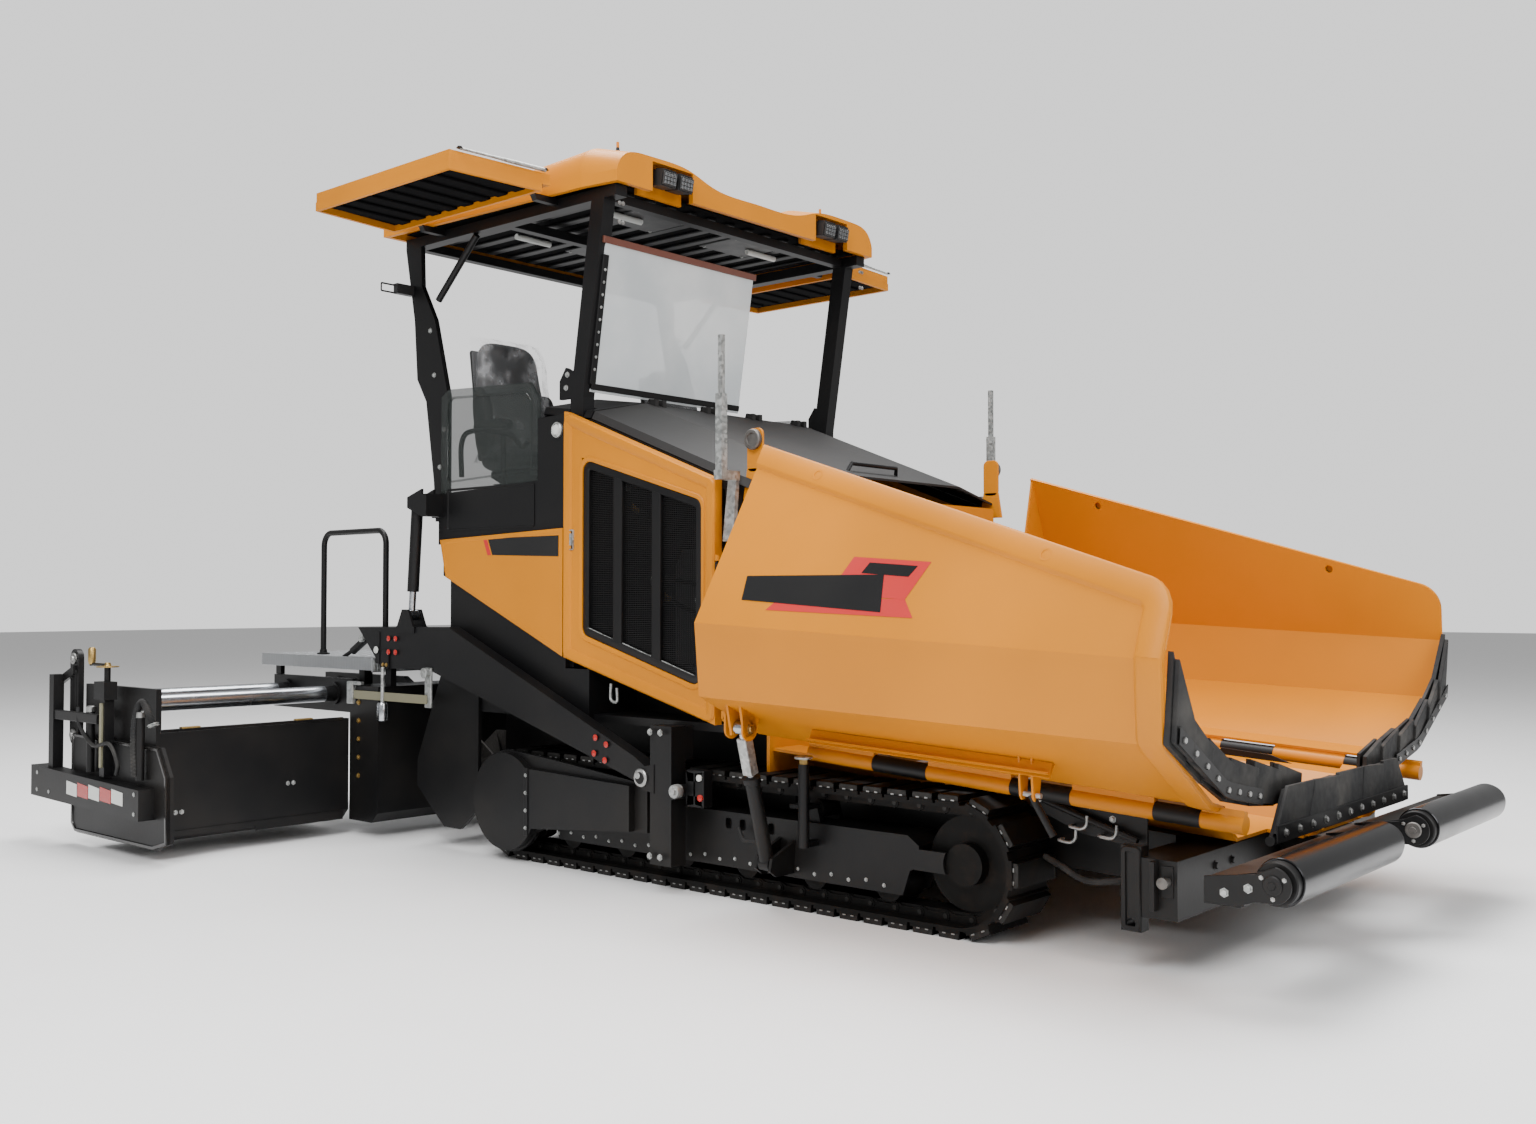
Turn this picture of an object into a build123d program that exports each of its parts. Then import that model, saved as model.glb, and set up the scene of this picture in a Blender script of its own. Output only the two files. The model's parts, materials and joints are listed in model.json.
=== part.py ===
from build123d import *
import math
import os

# Tracked asphalt paver, in millimetres.
# +X is the front, where the hopper is, +Y the machine's left and +Z up.
# The origin is on the ground, in the middle of the machine with its screed drawn out.

os.makedirs("parts", exist_ok=True)

HANDS = {"left": 1, "right": -1}

# Clearances
SEAT = 0.3          # between pieces that are bolted or pressed together
RUN = 0.5           # between a pin or shaft and its bore
SWING = 6.0         # between pieces that move past each other

# Chassis box, and the tracks beside it
CHASSIS_HALF = 780
TRACK_Y = CHASSIS_HALF + 190    # from the middle of the machine to the middle of a track
SHOE_WIDTH = 320
SHOE_COUNT = 54
SHOE_GAP = 13
SHOE_PHASE = 0.28           # keeps every shoe flat on the ground or clear of it
PAD_INSET = 10              # pads are narrower and shorter than their shoes
SPROCKET_X = -830
IDLER_X = 2020
TRACK_RADIUS = 300          # axle to the face of a pad, so the axle's height too
PAD_HEIGHT = 26
SHOE_THICKNESS = 14
CHAIN_WIDTH = 120
CHAIN_OUTER = 252
CHAIN_INNER = 205
TRACK_INSIDE = TRACK_Y - SHOE_WIDTH / 2
TRACK_OUTSIDE = TRACK_Y + SHOE_WIDTH / 2
ROLLER_RADIUS = 72
ROLLER_COUNT = 6
CARRIER_RADIUS = 45
FRAME_INSIDE = TRACK_Y - 110
FRAME_OUTSIDE = TRACK_Y + 110
FRAME_LOW = TRACK_RADIUS - 50
FRAME_HIGH = TRACK_RADIUS + 100

# Chassis and its two conveyor tunnels
CHASSIS_REAR = -1350
CHASSIS_FRONT = 870
CHASSIS_LOW = 330
DECK_Z = 1060               # top of the chassis box
TUNNEL_INNER = 75
TUNNEL_OUTER = CHASSIS_HALF - 140
TUNNEL_LOW = 600
TUNNEL_HIGH = 1000
NOSE_X = 2800               # front cross beam
NOSE_LENGTH = 200
NOSE_HALF = TRACK_OUTSIDE - 10
NOSE_LOW = 155
NOSE_HIGH = 440
LASHING_RADIUS = 18
STEP_BOLTS = (160, 100)     # pattern for a bolted step or hook, in Y and Z
STEP_BOLT_Y = NOSE_HALF - 420
STEP_BOLT_Z = 330

# Body
BODY_HALF = TRACK_OUTSIDE - 5   # behind the outer panels
PANEL = 25
BODY_REAR = -1500
DOOR_REAR = -420
DOOR_FRONT = 675
DOOR_GAP = 8
DOOR_HINGE_X = 690
DOOR_HINGE_Y = BODY_HALF + PANEL
HOOD_HINGE_X = -275
HOOD_HINGE_Z = 2516
HOOD_HINGES = (180, 600)
DOOR_HINGES = (980, 1560)   # foot of each hinge's fixed knuckle
SHELF_OUTSIDE = BODY_HALF - 29
PLATFORM_Z = 1770
PLATFORM_REAR = -1550
PLATFORM_FRONT = -660

# Hopper: everything lies along a hinge line that falls towards the front
HINGE_X = 1190
HINGE_Y = BODY_HALF - 75
HINGE_Z = 717
HINGE_SLOPE = 0.0618
HINGE_RADIUS = 36
WING_PLATE = 12
WING_REAR = -240            # along the hinge line, from HINGE_X
WING_FRONT = 1960
RIM_REAR = 1405             # the wing's rim above the hinge, at each end
RIM_FRONT = 880
RIM_CORNER = 130            # rounding where the rim meets the front edge
RIM_BAND = 55               # from the rim to its lifting holes
BED_DROP = 128              # conveyor bed below the hinge line
BED_PLATE = 14
HOPPER_WALL_X = 905
APRON_X = 3225              # pivot of the flap across the hopper's mouth
APRON_Z = 500

# Push rollers
PUSH_X = 3460
PUSH_Z = 450
PUSH_RADIUS = 85
PUSH_INNER = 200
PUSH_OUTER = NOSE_HALF + 225
PUSH_PIVOT_X = 3080

# Canopy
ROOF_FRONT = -60
ROOF_REAR = -1990
ROOF_FRONT_HALF = BODY_HALF - 15
ROOF_REAR_HALF = BODY_HALF + 90
ROOF_TOP = 3850
ROOF_HEIGHT = 250           # from the underside to the top of its shoulders
ROOF_LOW = ROOF_TOP - ROOF_HEIGHT
ROOF_SHELL = 30
ROOF_PEAK = -300            # where the shoulders are highest
LAMP_BAY = (540, 850)       # recess in the front for two lamps
POST_Y = BODY_HALF - 45
POST_WIDTH = 80
FLAP_HINGE_Y = ROOF_REAR_HALF + 30
FLAP_HINGE_Z = ROOF_LOW + 10
FLAP_OUTER_Y = FLAP_HINGE_Y + 615
FLAP_HINGES = (-1600, -600)
FLAP_THICKNESS = 60

# Screed
TOW_X = 280
TOW_Z = 545
TOW_PIN = 30
ARM_INSIDE = BODY_HALF + 35
ARM_OUTSIDE = ARM_INSIDE + 80
ARM_Y = (ARM_INSIDE + ARM_OUTSIDE) / 2
SCREED_FRONT = -1960
SCREED_BACK = -2255
SCREED_HALF = ARM_OUTSIDE + 10
SOLE_Z = 90
EXTENSION_FRONT = -2265
EXTENSION_BACK = -2960
EXTENSION_TOP = 700
STROKE = SCREED_HALF - 70
EXTENSION_OUTER = SCREED_HALF + STROKE + 20
TUBE_RADIUS = 48
TUBE_Z = 840
CARRIER_Y = (SCREED_HALF - 450, SCREED_HALF - 75)     # inner faces of the two plates that guide the tubes
CARRIER_PLATE = 40
REAR_REACH = -3545

# Cylinders: pins as (X, distance from the middle, Z)
WING_PIN_RUN = -98          # both pins stand square to the wing's hinge, at one place along it
WING_PIN_LOW = (TRACK_OUTSIDE + 85, -509)       # distance from the middle and height above the hinge
WING_PIN_HIGH = (HINGE_Y + 380, 127)
LIFT_PIN_HIGH = (-1650, ARM_Y, 1985)
LIFT_PIN_LOW = (-1700, ARM_Y, 1330)
BARREL_PIN = 20
WING_EYE_PIN = 12
WING_EYE_DRIFT = 8.6        # a rod's eye is open by as much as its pin drifts in it
LIFT_EYE_PIN = 16
LIFT_EYE_DRIFT = 3.5


def block(x, y, z, mode=Mode.ADD):
    """A square block between pairs of X, Y and Z."""
    with Locations((sum(x) / 2, sum(y) / 2, sum(z) / 2)):
        Box(abs(x[1] - x[0]), abs(y[1] - y[0]), abs(z[1] - z[0]), mode=mode)


def slab(outline, y, mode=Mode.ADD, corner=0):
    """A plate with its outline in X and Z, between a pair of Y."""
    with BuildSketch(Plane.XZ.offset(-max(y))) as profile:
        with BuildLine():
            Polyline(*outline, close=True)
        make_face()
        if corner:
            fillet(profile.vertices(), corner)
    extrude(profile.sketch, amount=max(y) - min(y), mode=mode)


def section(outline, x, mode=Mode.ADD):
    """A bar with its outline in Y and Z, between a pair of X."""
    with BuildSketch(Plane.YZ.offset(min(x))) as profile:
        with BuildLine():
            Polyline(*outline, close=True)
        make_face()
    extrude(profile.sketch, amount=max(x) - min(x), mode=mode)


def rod(start, end, radius, mode=Mode.ADD):
    """A round bar from one point to another."""
    run = Vector(*end) - Vector(*start)
    with BuildSketch(Plane(origin=start, z_dir=run)) as profile:
        Circle(radius)
    extrude(profile.sketch, amount=run.length, mode=mode)


def band(line, thickness):
    """Closed outline of a bent strip: a line, and the same line moved to its left."""
    moved = []
    for i, (u, v) in enumerate(line):
        before = line[max(i - 1, 0)]
        after = line[min(i + 1, len(line) - 1)]
        sides = []
        for start, end in ((before, (u, v)), ((u, v), after)):
            run = math.dist(start, end)
            if run:
                sides.append(((start[1] - end[1]) / run, (end[0] - start[0]) / run))
        nu = sum(side[0] for side in sides) / len(sides)
        nv = sum(side[1] for side in sides) / len(sides)
        scale = thickness / (nu * nu + nv * nv)
        moved.append((u + nu * scale, v + nv * scale))
    return list(line) + moved[::-1]


def both(outline):
    """An outline given for one side, closed through its mirror image in Y."""
    return list(outline) + [(-y, z) for y, z in reversed(outline)]


def finish(piece, name):
    piece.part.label = name
    export_step(piece.part, f"parts/{name}.step")


# The hinge line's own frame: local x is Y, local y is square to the line, and z runs along it.
HINGE_ANGLE = math.atan(HINGE_SLOPE)
ALONG = (math.cos(HINGE_ANGLE), 0, -math.sin(HINGE_ANGLE))
HOPPER = Plane(origin=(HINGE_X, 0, HINGE_Z), x_dir=(0, 1, 0), z_dir=ALONG)


def hopper_chain(outlines, places, mode=Mode.ADD):
    """A body through outlines that stand square on the hinge line."""
    faces = []
    for outline, place in zip(outlines, places):
        with BuildSketch(HOPPER.offset(place)) as profile:
            with BuildLine():
                Polyline(*outline, close=True)
            make_face()
        faces.append(profile.sketch)
    loft(faces, ruled=True, mode=mode)


def hopper_loft(rear, front, start, end, mode=Mode.ADD):
    hopper_chain((rear, front), (start, end), mode)


def hopper_bar(outline, start, end, mode=Mode.ADD):
    hopper_loft(outline, outline, start, end, mode)


def hopper_point(y, height, run=0):
    """A point at a distance from the middle, a height above the hinge and a run along it."""
    return tuple(HOPPER.origin + HOPPER.x_dir * y + HOPPER.y_dir * height + HOPPER.z_dir * run)


def hinge_height(x):
    return HINGE_Z - HINGE_SLOPE * (x - HINGE_X)


# ---------------------------------------------------------------- tracks
PITCH_RADIUS = (CHAIN_INNER + CHAIN_OUTER) / 2
TRACK_STRAIGHT = IDLER_X - SPROCKET_X
HALF_TURN = math.pi * PITCH_RADIUS
LOOP_LENGTH = 2 * (TRACK_STRAIGHT + HALF_TURN)


def loop_place(run):
    """Axle X and turning angle, in radians from straight up, at a run along the loop."""
    run %= LOOP_LENGTH
    if run < TRACK_STRAIGHT:
        return SPROCKET_X + run, 0.0
    run -= TRACK_STRAIGHT
    if run < HALF_TURN:
        return IDLER_X, run / PITCH_RADIUS
    run -= HALF_TURN
    if run < TRACK_STRAIGHT:
        return IDLER_X - run, math.pi
    return SPROCKET_X, math.pi + (run - TRACK_STRAIGHT) / PITCH_RADIUS


def shoe_outline(half_length, low, high):
    """The whole loop's outline, with one flat step for each shoe."""
    points = []
    for i in range(SHOE_COUNT):
        x, turn = loop_place((i + SHOE_PHASE) * LOOP_LENGTH / SHOE_COUNT)
        for along, height in ((-half_length, low), (-half_length, high), (half_length, high), (half_length, low)):
            points.append((x + along * math.cos(turn) + height * math.sin(turn),
                           TRACK_RADIUS - along * math.sin(turn) + height * math.cos(turn)))
    return points


shoe_half = (LOOP_LENGTH / SHOE_COUNT - SHOE_GAP) / 2
shoe_top = TRACK_RADIUS - PAD_HEIGHT
shoe_low = shoe_top - SHOE_THICKNESS
axle_middle = ((SPROCKET_X + IDLER_X) / 2, TRACK_RADIUS)


def slot(radius, y, mode=Mode.ADD):
    """A plate with the stadium outline of the loop, at a radius from the axles."""
    with BuildSketch(Plane.XZ.offset(-max(y))) as profile:
        with Locations(axle_middle):
            SlotCenterToCenter(TRACK_STRAIGHT, 2 * radius)
    extrude(profile.sketch, amount=max(y) - min(y), mode=mode)


for side, hand in HANDS.items():
    middle = hand * TRACK_Y
    with BuildPart() as track:
        slab(shoe_outline(shoe_half, shoe_low, shoe_top),
             (middle - SHOE_WIDTH / 2, middle + SHOE_WIDTH / 2))
        slab(shoe_outline(shoe_half - PAD_INSET, shoe_low, TRACK_RADIUS),
             (middle - SHOE_WIDTH / 2 + PAD_INSET, middle + SHOE_WIDTH / 2 - PAD_INSET))
        slot(CHAIN_OUTER - 4, (middle - SHOE_WIDTH, middle + SHOE_WIDTH), Mode.SUBTRACT)
        slot(CHAIN_OUTER, (middle - CHAIN_WIDTH / 2, middle + CHAIN_WIDTH / 2))
        slot(CHAIN_INNER, (middle - CHAIN_WIDTH, middle + CHAIN_WIDTH), Mode.SUBTRACT)
    finish(track, f"track_{side}")

# Wheels inside the loop: sprocket, idler, lower rollers and carrier rollers
lower_first = SPROCKET_X + 390
lower_last = IDLER_X - 390
lower_pitch = (lower_last - lower_first) / (ROLLER_COUNT - 1)
lower_z = TRACK_RADIUS - CHAIN_INNER + SEAT + ROLLER_RADIUS
carrier_z = TRACK_RADIUS + CHAIN_INNER - SEAT - CARRIER_RADIUS
carrier_x = (150, 1200)
wheel_radius = CHAIN_INNER - SEAT
with BuildPart() as track_wheels:
    for hand in HANDS.values():
        middle = hand * TRACK_Y
        inside = hand * (FRAME_INSIDE + 20)
        outside = hand * (FRAME_OUTSIDE - 20)
        for i in range(ROLLER_COUNT):
            x = lower_first + i * lower_pitch
            rod((x, inside, lower_z), (x, outside, lower_z), ROLLER_RADIUS)
        for x in carrier_x:
            rod((x, middle - 60, carrier_z), (x, middle + 60, carrier_z), CARRIER_RADIUS)
        for x in (SPROCKET_X, IDLER_X):
            rod((x, middle - 35, TRACK_RADIUS), (x, middle + 35, TRACK_RADIUS), wheel_radius)
        with BuildSketch(Plane.XZ.offset(-middle - 40)) as teeth:
            with Locations((SPROCKET_X, TRACK_RADIUS)):
                with PolarLocations(wheel_radius, 14):
                    RegularPolygon(18, 4)
        extrude(teeth.sketch, amount=80, mode=Mode.SUBTRACT)
        for x, hub in ((SPROCKET_X, 120), (IDLER_X, 90)):
            rod((x, hand * FRAME_INSIDE, TRACK_RADIUS), (x, outside, TRACK_RADIUS), hub)
        rod((SPROCKET_X, hand * (CHASSIS_HALF + SEAT), TRACK_RADIUS),
            (SPROCKET_X, hand * (TRACK_OUTSIDE + 20), TRACK_RADIUS), 110)
finish(track_wheels, "track_wheels")

frame_rear = SPROCKET_X + 230
frame_front = IDLER_X - 215
with BuildPart() as track_frames:
    for hand in HANDS.values():
        faces = (hand * FRAME_INSIDE, hand * FRAME_OUTSIDE)
        slab([(frame_rear, FRAME_LOW + 40), (frame_rear + 60, FRAME_LOW), (frame_front - 40, FRAME_LOW),
              (frame_front, FRAME_LOW + 40), (frame_front, FRAME_HIGH - 40), (frame_front - 60, FRAME_HIGH),
              (frame_rear + 80, FRAME_HIGH), (frame_rear, FRAME_HIGH - 40)], faces)
        for y in (FRAME_INSIDE, FRAME_OUTSIDE - 19):
            cheek = (hand * y, hand * (y + 19))
            slab([(lower_first - 90, lower_z - 30), (lower_last + 90, lower_z - 30),
                  (lower_last + 130, FRAME_LOW + 5), (lower_first - 120, FRAME_LOW + 5)], cheek)
            block((frame_front - 30, IDLER_X + 60), cheek, (TRACK_RADIUS - 45, TRACK_RADIUS + 45))
            rod((IDLER_X, cheek[0], TRACK_RADIUS), (IDLER_X, cheek[1], TRACK_RADIUS), 90 + RUN, Mode.SUBTRACT)
        for x in carrier_x:
            for y in (TRACK_Y - 85, TRACK_Y + 61):
                slab([(x - 45, FRAME_HIGH - 5), (x + 45, FRAME_HIGH - 5), (x + 22, carrier_z + 20),
                      (x - 22, carrier_z + 20)], (hand * y, hand * (y + 24)))
        for x in (700, 790, 880, 970):
            slab([(x - 20, TRACK_RADIUS + 20), (x + 20, TRACK_RADIUS + 20), (x + 20, TRACK_RADIUS + 72),
                  (x - 20, TRACK_RADIUS + 72)],
                 (hand * (FRAME_OUTSIDE - 30), hand * (FRAME_OUTSIDE + 10)), Mode.SUBTRACT, corner=15)
        for x in (-60, 1330):
            block((x - 120, x + 120), (hand * (CHASSIS_HALF + SEAT), hand * (FRAME_INSIDE + 10)),
                  (TRACK_RADIUS - 60, TRACK_RADIUS + 80))
        pin_y, pin_h = WING_PIN_LOW
        for run in (WING_PIN_RUN - 51, WING_PIN_RUN + 35):
            hopper_bar([(hand * (FRAME_OUTSIDE - 5), pin_h - 55), (hand * (FRAME_OUTSIDE - 5), pin_h + 100),
                        (hand * (pin_y + 25), pin_h + 32), (hand * (pin_y + 35), pin_h - 25),
                        (hand * (pin_y - 10), pin_h - 55)], run, run + 16)
        rod(hopper_point(hand * pin_y, pin_h, WING_PIN_RUN - 45), hopper_point(hand * pin_y, pin_h, WING_PIN_RUN + 45),
            BARREL_PIN - RUN)
finish(track_frames, "track_frames")

# Guard over each final drive: a round cover and a box with sloping shelves
guard_inside = TRACK_OUTSIDE + 20 + SEAT
guard_outside = guard_inside + 65 - SEAT
guard_shelf = guard_inside + 25
with BuildPart() as drive_guards:
    for hand in HANDS.values():
        with BuildSketch(Plane.XZ.offset(-max(hand * guard_inside, hand * guard_shelf))) as shelf:
            with BuildLine():
                Polyline((SPROCKET_X, 600), (-520, 575), (240, 500), (240, 260), (-520, 210),
                         (SPROCKET_X, 75), close=True)
            make_face()
            with Locations((SPROCKET_X, TRACK_RADIUS + 25)):
                Circle(275)
        extrude(shelf.sketch, amount=guard_shelf - guard_inside)
        with BuildSketch(Plane.XZ.offset(-max(hand * guard_shelf, hand * guard_outside))) as cover:
            with BuildLine():
                Polyline((-640, 515), (150, 490), (150, 262), (-640, 195), close=True)
            make_face()
            with Locations((SPROCKET_X, TRACK_RADIUS + 25)):
                Circle(262)
        extrude(cover.sketch, amount=guard_outside - guard_shelf)
        block((20, 120), (hand * (FRAME_OUTSIDE + SEAT), hand * guard_inside), (270, 380))
finish(drive_guards, "drive_guards")

# ---------------------------------------------------------------- chassis
with BuildPart() as chassis_frame:
    section(both([(CHASSIS_HALF, CHASSIS_LOW), (CHASSIS_HALF, DECK_Z)])[::-1], (CHASSIS_REAR, CHASSIS_FRONT))
    for hand in HANDS.values():
        block((CHASSIS_REAR - 10, CHASSIS_FRONT + 10), (hand * TUNNEL_INNER, hand * TUNNEL_OUTER),
              (TUNNEL_LOW, TUNNEL_HIGH), Mode.SUBTRACT)
        slab([(CHASSIS_FRONT - 20, CHASSIS_LOW), (NOSE_X + 20, CHASSIS_LOW - 60),
              (NOSE_X + 20, hinge_height(NOSE_X + 20) - BED_DROP - BED_PLATE - SEAT),
              (CHASSIS_FRONT - 20, hinge_height(CHASSIS_FRONT - 20) - BED_DROP - BED_PLATE - SEAT)],
             (hand * (CHASSIS_HALF - 220), hand * (CHASSIS_HALF - 40)))
        block((-240, CHASSIS_FRONT), (hand * (CHASSIS_HALF - 5), hand * SHELF_OUTSIDE), (780, 820))
        rod((SPROCKET_X, hand * (CHASSIS_HALF - 40), TRACK_RADIUS),
            (SPROCKET_X, hand * CHASSIS_HALF, TRACK_RADIUS), 140)
    slab([(SPROCKET_X - 160, CHASSIS_LOW + 20), (SPROCKET_X - 150, 200), (SPROCKET_X + 150, 160),
          (1500, 160), (1700, CHASSIS_LOW + 20)], (-CHASSIS_HALF, CHASSIS_HALF))
    block((NOSE_X, NOSE_X + NOSE_LENGTH), (-NOSE_HALF, NOSE_HALF), (NOSE_LOW + 60, NOSE_HIGH))
    for hand in HANDS.values():
        block((NOSE_X - 30, NOSE_X + 55), (hand * (NOSE_HALF - 60), hand * NOSE_HALF), (NOSE_LOW, NOSE_HIGH + 40))
        rod((NOSE_X + 12, hand * (NOSE_HALF - 80), NOSE_LOW + 32), (NOSE_X + 12, hand * (NOSE_HALF + 20), NOSE_LOW + 32),
            LASHING_RADIUS, Mode.SUBTRACT)
        for y in (STEP_BOLT_Y - STEP_BOLTS[0] / 2, STEP_BOLT_Y + STEP_BOLTS[0] / 2):
            for z in (STEP_BOLT_Z - STEP_BOLTS[1] / 2, STEP_BOLT_Z + STEP_BOLTS[1] / 2):
                rod((NOSE_X + NOSE_LENGTH - 40, hand * y, z), (NOSE_X + NOSE_LENGTH + 10, hand * y, z), 9, Mode.SUBTRACT)
    block((NOSE_X + 180, PUSH_PIVOT_X + 60), (-180, 180), (300, 330))
    rod((PUSH_PIVOT_X, 0, 310), (PUSH_PIVOT_X, 0, 436), 30 - RUN)
finish(chassis_frame, "chassis_frame")

# ---------------------------------------------------------------- tow guides
guide_x = (335, 480)
with BuildPart() as tow_guides:
    for hand in HANDS.values():
        slab([(guide_x[0], 130), (guide_x[1], 130), (guide_x[1], 805), (guide_x[0], 805)],
             (hand * (ARM_INSIDE - 10), hand * (ARM_OUTSIDE + 10)))
        block((guide_x[0], guide_x[1]), (hand * (SHELF_OUTSIDE + SEAT), hand * ARM_INSIDE), (640, 800))
        for y in (ARM_INSIDE - 14 - RUN, ARM_OUTSIDE + RUN):
            slab([(TOW_X, TOW_Z - 55), (guide_x[0] + 30, TOW_Z - 70), (guide_x[0] + 30, TOW_Z + 70),
                  (TOW_X, TOW_Z + 55), (TOW_X - 45, TOW_Z + 25), (TOW_X - 45, TOW_Z - 25)],
                 (hand * y, hand * (y + 14)))
        rod((TOW_X, hand * (ARM_INSIDE - 5), TOW_Z), (TOW_X, hand * (ARM_OUTSIDE + 30), TOW_Z), TOW_PIN - RUN)
        rod((guide_x[1] + 12, hand * ARM_INSIDE, 490), (guide_x[1] + 12, hand * (ARM_OUTSIDE + 15), 490), 34)
finish(tow_guides, "tow_guides")

# ---------------------------------------------------------------- body
with BuildPart() as tank_body:
    slab([(BODY_REAR, PLATFORM_Z - 30 - SEAT), (BODY_REAR, 1560), (-1430, 1530), (-1430, DECK_Z + SEAT),
          (DOOR_REAR - 12, DECK_Z + SEAT), (DOOR_REAR - 12, PLATFORM_Z - 30 - SEAT)], (-BODY_HALF, BODY_HALF))
    for hand in HANDS.values():
        slab([(-1300, DECK_Z + 10), (-1300, 900), (-1180, 790), (-245, 790), (-245, DECK_Z - 5),
              (DOOR_REAR - 12, DECK_Z - 5), (DOOR_REAR - 12, DECK_Z + 10)], (hand * (CHASSIS_HALF + SEAT), hand * BODY_HALF))
finish(tank_body, "tank_body")

with BuildPart() as rear_panels:
    for hand in HANDS.values():
        slab([(BODY_REAR, 1765), (BODY_REAR + 55, 1550), (DOOR_REAR - DOOR_GAP, 1118), (DOOR_REAR - DOOR_GAP, 1800)],
             (hand * (BODY_HALF + SEAT), hand * (BODY_HALF + PANEL)))
finish(rear_panels, "rear_panels")

# Engine bay: a bulkhead behind, posts in front and rails that carry the hood
hood_rear = -270


POST_OUT = BODY_HALF - 30       # outer face of the posts and rails behind the doors


def hood_edge(x):
    """Height of the doors' top edge, where the hood's sides lie."""
    return 2420 + (2000 - 2420) * (x - DOOR_REAR) / (DOOR_FRONT - DOOR_REAR)


with BuildPart() as bulkheads:
    slab([(DOOR_REAR - 12 + SEAT, DECK_Z + SEAT), (DOOR_REAR + 20, DECK_Z + SEAT), (DOOR_REAR + 20, 2360),
          (DOOR_REAR - 12 + SEAT, 2360)], (-POST_OUT, POST_OUT))
    for hand in HANDS.values():
        slab([(DOOR_FRONT + 15, 820 + SEAT), (DOOR_FRONT + 95, 820 + SEAT), (DOOR_FRONT + 95, 1925),
              (DOOR_FRONT + 15, 1955)], (hand * (POST_OUT - 75), hand * POST_OUT))
        rail = [(x, hood_edge(x) + 8 - SEAT) for x in (hood_rear, DOOR_FRONT + 95)]
        slab(rail + [(x, z - 50) for x, z in rail[::-1]] + [(DOOR_REAR + 10, 2300), (DOOR_REAR + 10, 2350)],
             (hand * (POST_OUT - 55), hand * POST_OUT))
    for hand in HANDS.values():
        for z in DOOR_HINGES:
            block((DOOR_HINGE_X - 2, DOOR_FRONT + 40), (hand * (POST_OUT - 5), hand * (DOOR_HINGE_Y - 5)), (z, z + 40))
            rod((DOOR_HINGE_X, hand * DOOR_HINGE_Y, z), (DOOR_HINGE_X, hand * DOOR_HINGE_Y, z + 40), 12)
            rod((DOOR_HINGE_X, hand * DOOR_HINGE_Y, z - 30), (DOOR_HINGE_X, hand * DOOR_HINGE_Y, z + 70), 6 - RUN)
finish(bulkheads, "bulkheads")

with BuildPart() as engine_block:
    slab([(-300, DECK_Z + SEAT), (620, DECK_Z + SEAT), (620, 1560), (520, 1700), (-240, 1700), (-300, 1600)],
         (-430, 430))
finish(engine_block, "engine_block")

crown = [(BODY_HALF - 45, 0), (BODY_HALF - 65, 35), (700, 115)]
with BuildPart() as hood:
    sections = []
    for x, drop in ((hood_rear, 0), (860, 0)):
        edge = hood_edge(x) + 8
        with BuildSketch(Plane.YZ.offset(x)) as profile:
            with BuildLine():
                Polyline(*band(both([(y, edge + z) for y, z in crown]), -12), close=True)
            make_face()
        sections.append(profile.sketch)
    loft(sections, ruled=True)
    for hand in HANDS.values():
        for y in HOOD_HINGES:
            for start in (y - 29, y + 32):
                block((HOOD_HINGE_X + 2, HOOD_HINGE_X + 45), (hand * start, hand * (start + 27)), (2467, HOOD_HINGE_Z + 6))
                rod((HOOD_HINGE_X, hand * start, HOOD_HINGE_Z), (HOOD_HINGE_X, hand * (start + 27), HOOD_HINGE_Z), 11)
            rod((HOOD_HINGE_X, hand * (y - 35), HOOD_HINGE_Z), (HOOD_HINGE_X, hand * (y + 65), HOOD_HINGE_Z), 5,
                Mode.SUBTRACT)
finish(hood, "hood")

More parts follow.
